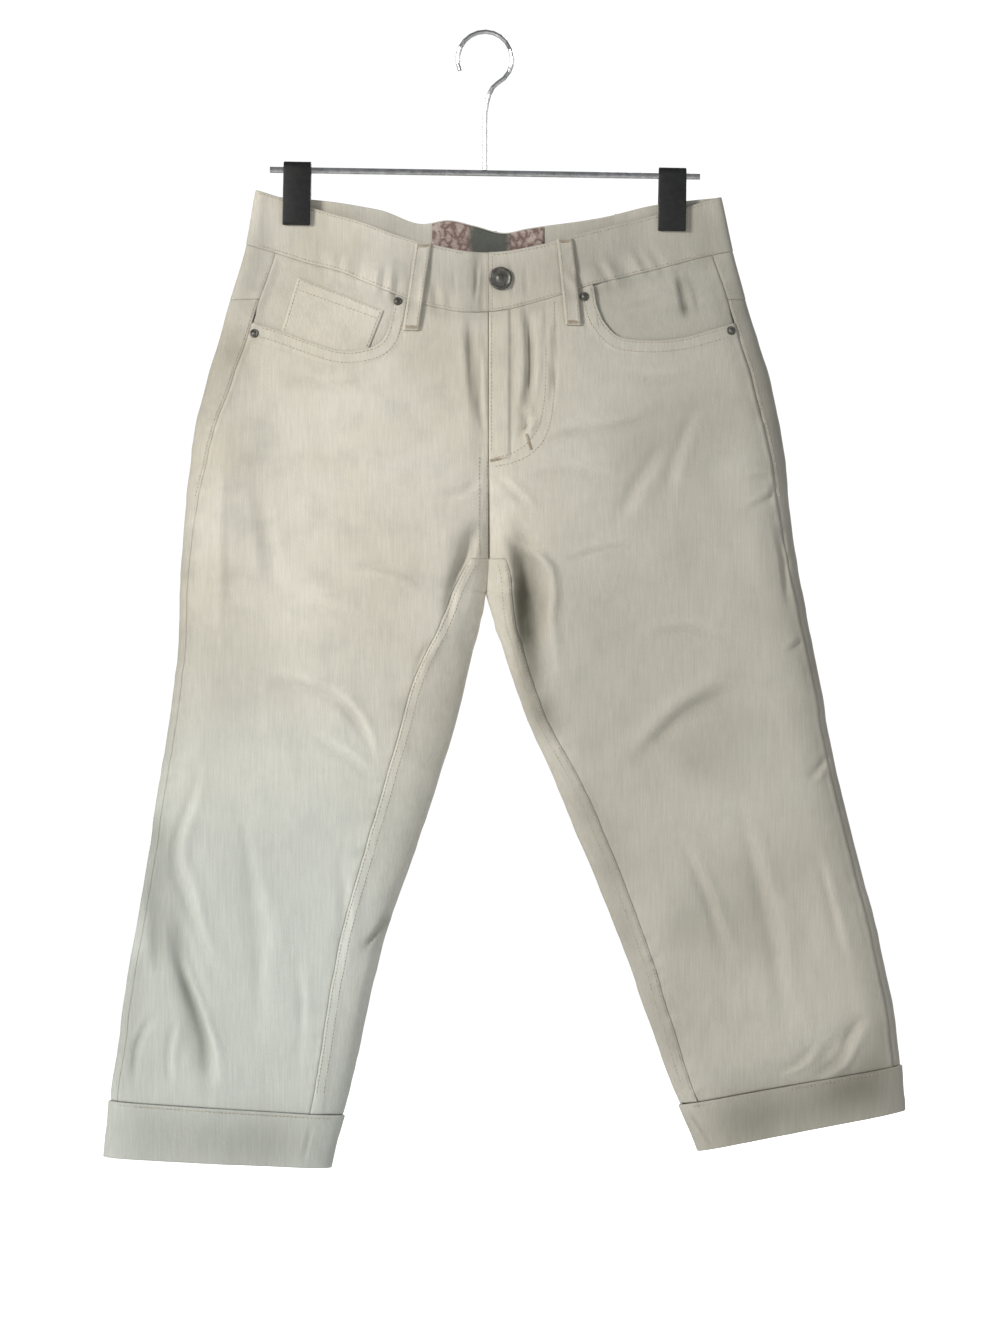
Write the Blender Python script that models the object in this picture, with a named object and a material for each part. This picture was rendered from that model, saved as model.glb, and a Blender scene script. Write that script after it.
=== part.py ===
"""Cropped five-pocket jeans, hung by the waistband from a clip hanger.

Millimetres in the tables and functions, metres on the objects.  The wearer's right is -X, the
front faces -Y and +Z is up.  The origin is the point where the hanger's hook bears on a rail.
A drop is a distance down from the waistband's side corner.
"""
import math
from collections import namedtuple

import bmesh
import bpy
from mathutils import Matrix, Vector

MM = 0.001

# ---------------------------------------------------------------- driving sizes
WAIST_Z = -125.0            # height of the waistband's side corner
SEAM_GAP = 0.3              # between two pieces that are sewn edge to edge
CLOTH = 1.6                 # wall of one layer of cloth with its seam allowances
BAND_CLOTH = 3.0            # wall of the doubled waistband
BAND_WIDTH = 44.0
CUFF_CLOTH = 3.2            # wall of the turned-up cuff
CUFF_PROUD = 1.6            # how far the cuff stands out of the leg
FACING_CLOTH = 1.2
COIN_CLOTH = 1.0
LOOP_CLOTH = 2.4
LOOP_WIDTH = 12.5
LOOP_GAP = 0.6
LOOP_BOW = 1.5              # how far a belt loop bows out at its middle
LOOP_BELOW_EDGE = 0.6       # top of a loop below the waistband's edge
LABEL_CLOTH = 0.8
BUTTON_RADIUS = 9.2
RIVET_RADIUS = 3.5

CENTRE_X = 3.2              # the centre seams and the edge of the fly
FORK_DROP = 293.6           # where the inseams meet the centre front seam
APEX_DROP = 322.4           # lowest point of the centre seam, between the legs
APEX_X = 0.8
HIP_DROP = 160.0
FLY_DROP = 205.0            # lower end of the fly's under-lap
FLY_LAP_X = 22.0
BAND_LAP_X = 28.0
LAP_START_X = -14.0         # where the under side begins to dip beneath the lap
MOUTH_SIDE_DROP = 107.0     # pocket mouth at the side seam
YOKE_SIDE_DROP = 88.0
YOKE_CENTRE_DROP = 146.0
YOKE_FOOT_DROP = 190.0      # the first level row of the back

# ---------------------------------------------------------------- outlines, one row per level
Level = namedtuple("Level", "drop outer inner side_seam inseam")

RIGHT_LEVELS = (
    Level(0, -183.0, CENTRE_X, 25.0, 0.0),
    Level(45, -191.0, CENTRE_X, 25.0, 0.0),
    Level(90, -204.5, CENTRE_X, 24.0, 0.0),
    Level(150, -222.0, CENTRE_X, 21.5, 0.0),
    Level(210, -235.0, CENTRE_X, 14.5, 0.0),
    Level(280, -241.6, CENTRE_X, 7.5, 0.0),
    Level(FORK_DROP, -242.4, CENTRE_X, 7.0, 0.0),
    Level(297, -242.5, 3.0, 7.0, 15.0),
    Level(310, -243.0, 2.2, 6.5, 22.0),
    Level(APEX_DROP, -243.6, APEX_X, 6.0, 26.5),
    Level(345, -244.2, -4.2, 6.0, 31.0),
    Level(410, -251.5, -18.8, 6.0, 43.0),
    Level(505, -265.0, -48.2, 6.0, 41.0),
    Level(600, -281.0, -80.0, 6.0, 35.0),
    Level(700, -296.0, -103.5, 6.0, 29.0),
    Level(785, -306.0, -125.5, 6.0, 23.0),
)
LEFT_LEVELS = (
    Level(0, 187.5, CENTRE_X, 17.0, 0.0),
    Level(45, 197.0, CENTRE_X, 17.0, 0.0),
    Level(90, 209.3, CENTRE_X, 14.5, 0.0),
    Level(150, 227.5, CENTRE_X, 15.0, 0.0),
    Level(210, 239.0, CENTRE_X, 12.0, 0.0),
    Level(280, 247.2, CENTRE_X, 8.0, 0.0),
    Level(FORK_DROP, 249.6, CENTRE_X, 7.5, 0.0),
    Level(297, 250.2, 3.0, 7.5, 13.0),
    Level(310, 252.4, 2.2, 7.0, 18.5),
    Level(APEX_DROP, 254.6, APEX_X, 6.5, 20.5),
    Level(345, 258.6, 6.8, 6.0, 17.0),
    Level(410, 270.7, 28.8, 5.0, 15.0),
    Level(505, 290.6, 69.2, 5.0, 22.0),
    Level(600, 316.0, 108.0, 6.0, 20.0),
    Level(700, 332.5, 143.8, 6.0, 16.0),
    Level(785, 337.0, 178.0, 6.0, 12.0),
)

# thickness of the hung garment, one row per level
Depth = namedtuple("Depth", "drop front back shoulder")

DEPTHS = (
    Depth(0, 15.0, 13.0, 26.0),
    Depth(150, 19.0, 17.0, 32.0),
    Depth(280, 23.0, 20.0, 36.0),
    Depth(345, 22.0, 20.0, 36.0),
    Depth(505, 19.0, 17.0, 34.0),
    Depth(700, 16.0, 15.0, 32.0),
    Depth(785, 15.5, 14.5, 30.0),
)
CROWN = 0.14                # how much flatter the edges of a panel lie than its middle

# the waistband's depth across the garment, pinched at the clips
BandDepth = namedtuple("BandDepth", "across front back")

BAND_DEPTHS = (
    BandDepth(0, 14.0, 10.0),
    BandDepth(60, 12.5, 9.0),
    BandDepth(98, 7.5, 6.0),
    BandDepth(127, 3.3, 3.3),
    BandDepth(172, 3.3, 3.3),
    BandDepth(185, 5.0, 5.0),
    BandDepth(200, 6.5, 6.5),
)
BAND_SHOULDER = 8.0
PINCH_TOP = 34.0            # the clips hold the cloth together down to this drop
PINCH_FADE = 110.0

# edges that run across the garment: x, drop
EdgePoint = namedtuple("EdgePoint", "x drop")

FRONT_TOP = [EdgePoint(*row) for row in (
    (-183.0, 0.0), (-150.0, 10.4), (-137.6, 14.4), (-100.0, 25.6), (-68.0, 37.6), (-40.8, 44.8),
    (-7.2, 50.4), (4.0, 50.6), (44.0, 44.8), (69.6, 37.6), (133.6, 20.8), (150.0, 16.5), (188.5, 5.6))]
FRONT_SEAM = [EdgePoint(*row) for row in (
    (-191.0, 44.0), (-168.0, 50.4), (-140.0, 59.2), (-116.0, 65.6), (-88.0, 77.6), (-37.6, 95.2),
    (-12.0, 98.8), (4.0, 98.4), (48.0, 88.8), (85.6, 76.8), (120.8, 68.0), (145.6, 61.6),
    (178.0, 53.0), (197.0, 49.6))]
BACK_TOP = [EdgePoint(*row) for row in (
    (-183.0, 0.0), (-161.6, 5.6), (-139.2, 7.2), (-84.0, 15.2), (-50.0, 26.0), (-30.0, 22.8),
    (-8.8, 27.2), (16.0, 33.0), (34.0, 29.6), (92.0, 21.6), (138.4, 11.2), (188.0, 5.6))]
RIGHT_MOUTH = [EdgePoint(*row) for row in (
    (-161.6, 114.4), (-140.0, 122.4), (-114.4, 130.0), (-92.0, 127.6), (-80.6, 120.5), (-75.2, 105.0))]
LEFT_MOUTH = [EdgePoint(*row) for row in (
    (175.2, 114.4), (157.6, 119.2), (133.6, 121.6), (108.8, 119.2), (96.8, 109.6), (89.6, 96.0))]
MOUTH_START_X = {"right": -71.0, "left": 86.0}

# rows of the leg below the fork
FORK_ROWS = (FORK_DROP, 297.0, 303.0, 312.0, APEX_DROP, 331.0, 345.0, 360.0, 377.0, 398.0)
HIP_ROWS = (HIP_DROP, YOKE_FOOT_DROP, 217.0, 245.0, 270.0)
LEG_STEPS = 6
Cuff = namedtuple("Cuff", "top_outer top_inner hem_outer hem_inner")
CUFFS = {"right": Cuff(728.0, 739.5, 773.0, 781.5), "left": Cuff(699.5, 731.0, 736.0, 768.0)}

# the largest folds, pressed in from the face
Fold = namedtuple("Fold", "leg face x0 drop0 x1 drop1 width depth")

FOLDS = (
    Fold("left", "front", 18, 266, 50, 395, 10.0, 10.0),
    Fold("right", "front", -8, 262, -29, 350, 7.0, 4.5),
    Fold("right", "front", -246, 545, -221, 720, 9.0, 4.5),
    Fold("left", "front", 306, 655, 260, 706, 8.0, 3.5),
    Fold("left", "front", 112, 462, 222, 392, 26.0, 2.5),
    Fold("right", "front", -170, 392, -92, 452, 20.0, 2.5),
    Fold("right", "back", -60, 330, -190, 372, 16.0, 3.5),
    Fold("left", "back", 66, 332, 205, 376, 16.0, 3.5),
    Fold("right", "back", -110, 480, -236, 512, 18.0, 3.0),
    Fold("left", "back", 130, 486, 262, 520, 18.0, 3.0),
)

# ---------------------------------------------------------------- hanger
CLIP_X = 150.0
CLIP_WIDTH = 22.0
JAW_TOP_DROP = 6.0          # at the right-hand clip, the other hangs lower by the bar's tilt
JAW_HEIGHT = 22.4
HANGER_TILT = 4.8           # drop of the bar from one clip to the other
JAW_FACE = 3.6              # from the middle plane to a jaw's pad
JAW_PAD = 5.0
BAR_RADIUS = 2.5
BAR_ABOVE_JAW = 22.0
BAR_HALF_LENGTH = 172.0
BAR_CLEARANCE = 0.3
HOOK_WIRE = 1.8
HOOK_INNER = 20.0

# ---------------------------------------------------------------- colours: base colour, roughness, metallic
IVORY = ((0.62, 0.60, 0.53, 1.0), 0.9, 0.0)
IVORY_BAND = ((0.58, 0.56, 0.49, 1.0), 0.9, 0.0)
POCKETING = ((0.55, 0.53, 0.47, 1.0), 0.9, 0.0)
LABEL_PINK = ((0.36, 0.28, 0.26, 1.0), 0.8, 0.0)
PEWTER = ((0.18, 0.17, 0.16, 1.0), 0.35, 0.9)
STEEL = ((0.60, 0.60, 0.60, 1.0), 0.25, 1.0)
CLIP_BLACK = ((0.02, 0.02, 0.02, 1.0), 0.4, 0.0)


# ---------------------------------------------------------------- smooth tables
def smooth_table(keys, values):
    """A smooth curve through (key, value) rows that never overshoots them."""
    count = len(keys)
    steps = [keys[i + 1] - keys[i] for i in range(count - 1)]
    slopes = [(values[i + 1] - values[i]) / steps[i] for i in range(count - 1)]
    tangents = [slopes[0]]
    for i in range(1, count - 1):
        before = slopes[i - 1]
        after = slopes[i]
        if before * after <= 0.0:
            tangents.append(0.0)
        else:
            weight_1 = 2.0 * steps[i] + steps[i - 1]
            weight_2 = steps[i] + 2.0 * steps[i - 1]
            tangents.append((weight_1 + weight_2) / (weight_1 / before + weight_2 / after))
    tangents.append(slopes[-1])

    def value_at(key):
        if key <= keys[0]:
            return values[0] + tangents[0] * (key - keys[0])
        if key >= keys[-1]:
            return values[-1] + tangents[-1] * (key - keys[-1])
        i = 0
        while key > keys[i + 1]:
            i += 1
        t = (key - keys[i]) / steps[i]
        rise = t * t * (3.0 - 2.0 * t)
        bend_0 = t * (1.0 - t) * (1.0 - t) * steps[i] * tangents[i]
        bend_1 = t * t * (t - 1.0) * steps[i] * tangents[i + 1]
        return values[i] * (1.0 - rise) + values[i + 1] * rise + bend_0 + bend_1

    return value_at


def column(rows, key, value):
    return smooth_table([getattr(row, key) for row in rows], [getattr(row, value) for row in rows])


def ease(t):
    t = min(max(t, 0.0), 1.0)
    return t * t * (3.0 - 2.0 * t)


def mix(a, b, t):
    return a + (b - a) * t


def quarter(t):
    """Height of a quarter ellipse, from 0 at its end to 1 on its crown."""
    t = min(max(t, 0.0), 1.0)
    return math.sqrt(t * (2.0 - t))


LEVELS = {"right": RIGHT_LEVELS, "left": LEFT_LEVELS}
OUTER = {leg: column(rows, "drop", "outer") for leg, rows in LEVELS.items()}
INNER = {leg: column(rows, "drop", "inner") for leg, rows in LEVELS.items()}
SIDE_SEAM = {leg: column(rows, "drop", "side_seam") for leg, rows in LEVELS.items()}
INSEAM = {leg: column(rows, "drop", "inseam") for leg, rows in LEVELS.items()}
DEPTH = {"front": column(DEPTHS, "drop", "front"), "back": column(DEPTHS, "drop", "back")}
SHOULDER = column(DEPTHS, "drop", "shoulder")
BAND_DEPTH = {face: column(BAND_DEPTHS, "across", face) for face in ("front", "back")}
EDGE = {"front_top": column(FRONT_TOP, "x", "drop"), "front_seam": column(FRONT_SEAM, "x", "drop"),
        "back_top": column(BACK_TOP, "x", "drop")}
OUTWARD = {"right": -1.0, "left": 1.0}


# ---------------------------------------------------------------- the hung form
def join_at(drop):
    """1 where the two halves run level across the centre seam, 0 below the apex."""
    if drop >= APEX_DROP:
        return 0.0
    fall = mix(1.0, 0.42, ease((drop - 200.0) / 96.0))
    return fall * quarter((APEX_DROP - drop) / 25.0)


def fold_depth(leg, face, x, drop):
    total = 0.0
    for fold in FOLDS:
        if fold.leg != leg or fold.face != face:
            continue
        run_x = fold.x1 - fold.x0
        run_drop = fold.drop1 - fold.drop0
        length = math.hypot(run_x, run_drop)
        along = ((x - fold.x0) * run_x + (drop - fold.drop0) * run_drop) / length
        across = ((x - fold.x0) * run_drop - (drop - fold.drop0) * run_x) / length
        fade = ease(along / (0.35 * length)) * ease((length - along) / (0.35 * length))
        total += fold.depth * fade * math.exp(-(across / fold.width) ** 2)
    return total


def form_depth(leg, face, x, drop):
    """Distance of the cloth's outer face from the middle plane."""
    outer = OUTER[leg](drop)
    inner = INNER[leg](drop)
    from_outer = abs(x - outer)
    from_inner = abs(inner - x)
    width = abs(inner - outer)
    shoulder = SHOULDER(drop)
    join = join_at(drop)
    start = 0.4 * join * shoulder
    low = quarter(start / (shoulder + start))
    rise = (quarter((from_inner + start) / (shoulder + start)) - low) / (1.0 - low)
    crown = 1.0 - CROWN + CROWN * math.sin(math.pi * min(from_outer / width, 1.0))
    hung = DEPTH[face](drop) * crown * quarter(from_outer / shoulder) * (join + (1.0 - join) * rise)
    hung -= fold_depth(leg, face, x, drop) * quarter(from_outer / shoulder) * min(from_inner / 8.0, 1.0)
    pinched = BAND_DEPTH[face](abs(x)) * quarter(from_outer / BAND_SHOULDER)
    return mix(pinched, hung, ease((drop - PINCH_TOP) / PINCH_FADE))


def turn_at(leg, x, drop):
    """Ring parameter of a point on the front: 0 at the outer edge, pi at the inner one."""
    outer = OUTER[leg](drop)
    share = (x - outer) / (INNER[leg](drop) - outer)
    return 2.0 * math.asin(math.sqrt(min(max(share, 0.0), 1.0)))


def surface(leg, turn, drop):
    """Point of the ring.  The front has turns 0 to pi, the back has pi to two pi, and so on round."""
    ring = turn % (2.0 * math.pi)
    share = math.sin(0.5 * ring) ** 2
    outer = OUTER[leg](drop)
    x = outer + (INNER[leg](drop) - outer) * share
    if ring <= math.pi:
        y = -form_depth(leg, "front", x, drop)
    else:
        y = form_depth(leg, "back", x, drop)
    return Vector((x, y, WAIST_Z - drop))


def normal_at(leg, turn, drop, face):
    """Outward direction of the ring's surface."""
    at_inner = abs(turn - math.pi) < 1e-6
    if at_inner and abs(drop - APEX_DROP) < 1e-6:
        return Vector((-OUTWARD[leg] * 0.6, 0.0, -0.8))
    before = turn - 0.03
    after = turn + 0.03
    if join_at(drop) > 0.0:
        if face == "front":
            after = min(after, math.pi)
        elif turn < 1.5 * math.pi:
            before = max(before, math.pi + 1e-5)
    along = surface(leg, after, drop) - surface(leg, before, drop)
    level_turn = turn
    if at_inner and face == "back":
        level_turn = math.pi + 1e-5
    down = surface(leg, level_turn, drop + 1.0) - surface(leg, level_turn, drop - 1.0)
    normal = along.cross(down).normalized()
    return normal * OUTWARD[leg]


# ---------------------------------------------------------------- solids
class Sheet:
    """Points of one piece of cloth with their outward directions, and the quads between them."""

    def __init__(self):
        self.points = []
        self.normals = []
        self.lifts = []
        self.known = {}
        self.faces = []

    def add(self, key, point, normal, lift=0.0):
        if key not in self.known:
            self.known[key] = len(self.points)
            self.points.append(point)
            self.normals.append(normal)
            self.lifts.append(lift)
        return self.known[key]

    def quad(self, a, b, c, d):
        corners = []
        for corner in (a, b, c, d):
            if corner not in corners:
                corners.append(corner)
        if len(corners) > 2:
            self.faces.append(corners)


def metal_or_cloth(name, finish):
    material = bpy.data.materials.new(name)
    material.use_nodes = True
    shader = material.node_tree.nodes["Principled BSDF"]
    colour, roughness, metallic = finish
    shader.inputs["Base Color"].default_value = colour
    shader.inputs["Roughness"].default_value = roughness
    shader.inputs["Metallic"].default_value = metallic
    material.diffuse_color = colour
    return material


def add_object(name, mesh, finish, smooth_angle=40.0):
    mesh.materials.append(metal_or_cloth(name, finish))
    mesh.shade_smooth()
    mesh.set_sharp_from_angle(angle=math.radians(smooth_angle))
    piece = bpy.data.objects.new(name, mesh)
    bpy.context.scene.collection.objects.link(piece)
    return piece


def mesh_from(name, points, faces):
    """A closed mesh in metres from points in millimetres, its faces turned outward."""
    mesh = bpy.data.meshes.new(name)
    mesh.from_pydata([tuple(point * MM) for point in points], [], faces)
    work = bmesh.new()
    work.from_mesh(mesh)
    bmesh.ops.recalc_face_normals(work, faces=work.faces)
    work.to_mesh(mesh)
    work.free()
    return mesh


def cloth_solid(name, sheet, wall, finish, lift=0.0):
    """Give a sheet its wall: the outer face lies lift above the form, the inner one wall below."""
    count = len(sheet.points)
    outer = []
    inner = []
    for point, normal, own_lift in zip(sheet.points, sheet.normals, sheet.lifts):
        outer.append(point + normal * (lift + own_lift))
        inner.append(point + normal * (lift + own_lift - wall))
    faces = [list(face) for face in sheet.faces]
    faces += [[corner + count for corner in reversed(face)] for face in sheet.faces]
    edges = {}
    for face in sheet.faces:
        for i, corner in enumerate(face):
            following = face[(i + 1) % len(face)]
            edges[(corner, following)] = edges.get((corner, following), 0) + 1
    for start, end in edges:
        if (end, start) not in edges:
            faces.append([end, start, start + count, end + count])
    return add_object(name, mesh_from(name, outer + inner, faces), finish)


def grid_sheet(rows):
    """A sheet from rows of (point, normal, lift)."""
    sheet = Sheet()
    numbers = []
    for i, row in enumerate(rows):
        numbers.append([sheet.add((i, j), *item) for j, item in enumerate(row)])
    for upper, lower in zip(numbers, numbers[1:]):
        for j in range(len(upper) - 1):
            sheet.quad(upper[j], upper[j + 1], lower[j + 1], lower[j])
    return sheet


# ---------------------------------------------------------------- columns and rows
FRONT_COLUMNS = 12
BACK_COLUMNS = 11
WRAP_COLUMNS = 2
GUSSET_COLUMNS = 3
MOUTH_COLUMNS = 8           # columns of the front that end on the pocket mouth, with both its ends


def seam_share(leg, drop):
    """Where the side seam lies on the front, as a share of the way across."""
    return SIDE_SEAM[leg](drop) / abs(INNER[leg](drop) - OUTER[leg](drop))


def inseam_share(leg, drop):
    if drop <= FORK_DROP:
        return 1.0
    return 1.0 - INSEAM[leg](drop) / abs(INNER[leg](drop) - OUTER[leg](drop))


def share_of(leg, x, drop):
    outer = OUTER[leg](drop)
    return (x - outer) / (INNER[leg](drop) - outer)


def mouth_points(leg):
    """The pocket mouth from the side seam to the waistband seam."""
    table = RIGHT_MOUTH if leg == "right" else LEFT_MOUTH
    side_x = mix(OUTER[leg](MOUTH_SIDE_DROP), INNER[leg](MOUTH_SIDE_DROP), seam_share(leg, MOUTH_SIDE_DROP))
    start_x = MOUTH_START_X[leg]
    start = EdgePoint(start_x, EDGE["front_seam"](start_x))
    return [EdgePoint(side_x, MOUTH_SIDE_DROP)] + list(table) + [start]


def front_fractions(leg):
    """Each front column as a fraction of the way from the side seam to the centre, at the hip."""
    fractions = []
    for point in mouth_points(leg):
        side = seam_share(leg, point.drop)
        fractions.append((share_of(leg, point.x, point.drop) - side) / (1.0 - side))
    fractions[0] = 0.0
    rest = FRONT_COLUMNS + 1 - MOUTH_COLUMNS
    last = fractions[-1]
    for i in range(1, rest + 1):
        fractions.append(mix(last, 1.0, i / rest))
    return fractions


def even_fraction(index):
    """The same columns lower down, a little closer together towards both seams."""
    t = index / FRONT_COLUMNS
    return mix(t, 0.5 - 0.5 * math.cos(math.pi * t), 0.5)


def front_share(leg, index, drop):
    fraction = mix(front_fractions(leg)[index], even_fraction(index), ease((drop - HIP_DROP) / 110.0))
    return mix(seam_share(leg, drop), inseam_share(leg, drop), fraction)


def turn_of_share(share):
    return 2.0 * math.asin(math.sqrt(min(max(share, 0.0), 1.0)))


def drop_on_edge(leg, share, edge):
    """Drop at which a column crosses an edge that is given by x."""
    drop = 50.0
    for _ in range(12):
        x = mix(OUTER[leg](drop), INNER[leg](drop), share)
        drop = EDGE[edge](x)
    return drop


def band_seam_column(leg, fraction):
    """Share and drop at which a column of the front meets the waistband's seam."""
    drop = 50.0
    for _ in range(12):
        share = mix(seam_share(leg, drop), 1.0, fraction)
        drop = drop_on_edge(leg, share, "front_seam")
    return share, drop


def back_seam_drop(leg, share):
    return drop_on_edge(leg, share, "back_top") + BAND_WIDTH


def row_drop(leg, step, share):
    """Drop of a leg row below the fork rows, which turns from level to the cuff's own slant."""
    size = CUFFS[leg]
    t = step / LEG_STEPS
    outer = mix(FORK_ROWS[-1], size.top_outer - SEAM_GAP, t)
    inner = mix(FORK_ROWS[-1], size.top_inner - SEAM_GAP, t)
    return mix(outer, inner, share)


def row_drop_along(leg, step, share_at):
    """Drop at which a leg row crosses a seam or column whose share changes with the drop."""
    drop = row_drop(leg, step, 0.5)
    for _ in range(6):
        drop = row_drop(leg, step, share_at(drop))
    return drop


def nudged(leg, turn, drop, face, sideways=0.0, downward=0.0, lift=0.0):
    """A point of the form moved along the cloth, away from a seam."""
    point = surface(leg, turn, drop)
    normal = normal_at(leg, turn, drop, face)
    if sideways:
        if abs(turn - math.pi) < 0.2 and drop <= APEX_DROP:
            across = Vector((-OUTWARD[leg], 0.0, 0.0))
        else:
            across = (surface(leg, turn + 0.02, drop) - surface(leg, turn - 0.02, drop)).normalized()
        point = point + across * sideways
    if downward:
        point = point + Vector((0.0, 0.0, -downward))
    return point, normal, lift


HALF_GAP = 0.5 * SEAM_GAP


# ---------------------------------------------------------------- fronts
def lap_dip(x, drop, depth, foot):
    """How far the under side of the front opening dips beneath the upper side."""
    return -depth * ease((x - LAP_START_X) / -LAP_START_X) * (1.0 - ease((drop - foot) / 20.0))


def front_panel(leg):
    sheet = Sheet()
    under = leg == "right"
    mouth = mouth_points(leg)
    fractions = front_fractions(leg)
    columns = range(FRONT_COLUMNS + 1)
    numbers = []

    def place(row, index, share, drop, downward=0.0):
        turn = turn_of_share(share)
        sideways = 0.0
        if index == 0:
            sideways = HALF_GAP
        if index == FRONT_COLUMNS:
            sideways = -HALF_GAP
        lift = 0.0
        if under and drop < FLY_DROP + 20.0:
            x = mix(OUTER[leg](drop), INNER[leg](drop), share)
            lift = lap_dip(x, drop, CLOTH + SEAM_GAP, FLY_DROP)
            if index == FRONT_COLUMNS and drop <= FLY_DROP:
                sideways = 0.0
        item = nudged(leg, turn, drop, "front", sideways, downward, lift)
        return sheet.add((row, index), *item)

    steps = 3
    for step in range(steps + 1):
        row = []
        for index in columns:
            fraction = fractions[index]
            top = band_seam_column(leg, fraction)[1]
            if index < MOUTH_COLUMNS - 1:
                top = mouth[index].drop
            drop = mix(top, HIP_DROP, step / steps)
            share = mix(seam_share(leg, drop), 1.0, fraction)
            gap = HALF_GAP if step == 0 else 0.0
            row.append(place(step, index, share, drop, gap))
        numbers.append(row)
    for order, level in enumerate(HIP_ROWS[1:] + FORK_ROWS):
        row = [place(10 + order, index, front_share(leg, index, level), level) for index in columns]
        numbers.append(row)
    for step in range(1, LEG_STEPS + 1):
        row = []
        for index in columns:
            drop = row_drop_along(leg, step, lambda level: front_share(leg, index, level))
            row.append(place(40 + step, index, front_share(leg, index, drop), drop))
        numbers.append(row)
    for upper, lower in zip(numbers, numbers[1:]):
        for j in range(FRONT_COLUMNS):
            sheet.quad(upper[j], upper[j + 1], lower[j + 1], lower[j])
    if under:
        add_fly_lap(sheet, numbers)
    return sheet


def add_fly_lap(sheet, numbers):
    """The right front runs on beneath the left one, down to the foot of the fly."""
    previous = [row[-1] for row in numbers[:5]]
    for order, x in enumerate((10.0, FLY_LAP_X)):
        current = []
        for number in [row[-1] for row in numbers[:5]]:
            drop = WAIST_Z - sheet.points[number].z
            turn = turn_at("left", x, drop)
            item = nudged("left", turn, drop, "front", 0.0, 0.0, -(CLOTH + SEAM_GAP))
            current.append(sheet.add(("lap", order, number), *item))
        for k in range(len(current) - 1):
            sheet.quad(previous[k], current[k], current[k + 1], previous[k + 1])
        previous = current


# ---------------------------------------------------------------- backs
def back_turns(leg, drop):
    """Turns of the back's columns: from the inner edge round the outer one to the side seam."""
    turns = [math.pi + math.pi * k / BACK_COLUMNS for k in range(BACK_COLUMNS + 1)]
    wrap = turn_of_share(seam_share(leg, drop))
    turns += [2.0 * math.pi + wrap * k / WRAP_COLUMNS for k in range(1, WRAP_COLUMNS + 1)]
    return turns


def back_item(leg, k, turn, drop, downward=0.0):
    """A point of the back at its column k."""
    last = BACK_COLUMNS + WRAP_COLUMNS
    sideways = 0.0
    if k == 0 and drop <= APEX_DROP:
        sideways = -HALF_GAP
        turn = math.pi + 1e-5 if drop < APEX_DROP else math.pi
    if k == last:
        sideways = -HALF_GAP
    return nudged(leg, turn, drop, "back", sideways, downward)


def across_share(turn):
    return math.sin(0.5 * turn) ** 2


def yoke_top(leg, k, turn):
    """Drop of the waistband's seam at a column of the back."""
    share = across_share(turn)
    if k >= BACK_COLUMNS:
        return drop_on_edge(leg, share, "front_seam")
    return back_seam_drop(leg, share)


def yoke_foot(k, turn):
    """Drop of the seam between the yoke and the back panel, lowest at the centre."""
    if k >= BACK_COLUMNS:
        return YOKE_SIDE_DROP
    share = across_share(turn)
    return mix(YOKE_SIDE_DROP, YOKE_CENTRE_DROP, 0.3 * ease(share) + 0.7 * share)


def yoke(leg):
    rows = []
    steps = 2
    seam_drop = band_seam_column(leg, 0.0)[1]
    tops = [yoke_top(leg, k, turn) for k, turn in enumerate(back_turns(leg, seam_drop))]
    for step in range(steps + 1):
        row = []
        t = step / steps
        for k, turn in enumerate(back_turns(leg, mix(seam_drop, YOKE_SIDE_DROP, t))):
            drop = mix(tops[k], yoke_foot(k, turn), t)
            gap = (HALF_GAP, 0.0, -HALF_GAP)[step]
            row.append(back_item(leg, k, turn, drop, gap))
        rows.append(row)
    return grid_sheet(rows)


def back_panel(leg):
    sheet = Sheet()
    numbers = []
    side_steps = (YOKE_SIDE_DROP, MOUTH_SIDE_DROP, mix(MOUTH_SIDE_DROP, HIP_DROP, 1 / 3),
                  mix(MOUTH_SIDE_DROP, HIP_DROP, 2 / 3), HIP_DROP, YOKE_FOOT_DROP)
    for step, side_drop in enumerate(side_steps):
        row = []
        t = (side_drop - YOKE_SIDE_DROP) / (YOKE_FOOT_DROP - YOKE_SIDE_DROP)
        for k, turn in enumerate(back_turns(leg, side_drop)):
            drop = mix(yoke_foot(k, turn), YOKE_FOOT_DROP, t)
            gap = HALF_GAP if step == 0 else 0.0
            row.append(sheet.add((step, k), *back_item(leg, k, turn, drop, gap)))
        numbers.append(row)
    levels = HIP_ROWS[2:] + FORK_ROWS
    for order, level in enumerate(levels):
        row = []
        for k, turn in enumerate(back_turns(leg, level)):
            row.append(sheet.add((10 + order, k), *back_item(leg, k, turn, level)))
        numbers.append(row)
    for step in range(1, LEG_STEPS + 1):
        row = []
        side_drop = row_drop_along(leg, step, lambda level: seam_share(leg, level))
        for k, turn in enumerate(back_turns(leg, side_drop)):
            drop = row_drop(leg, step, across_share(turn))
            row.append(sheet.add((40 + step, k), *back_item(leg, k, turn, drop)))
        numbers.append(row)
    for upper, lower in zip(numbers, numbers[1:]):
        for k in range(len(upper) - 1):
            sheet.quad(upper[k], upper[k + 1], lower[k + 1], lower[k])
    fork_row = len(side_steps) + len(HIP_ROWS[2:])
    add_gusset(leg, sheet, numbers[fork_row:])
    return sheet


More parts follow.
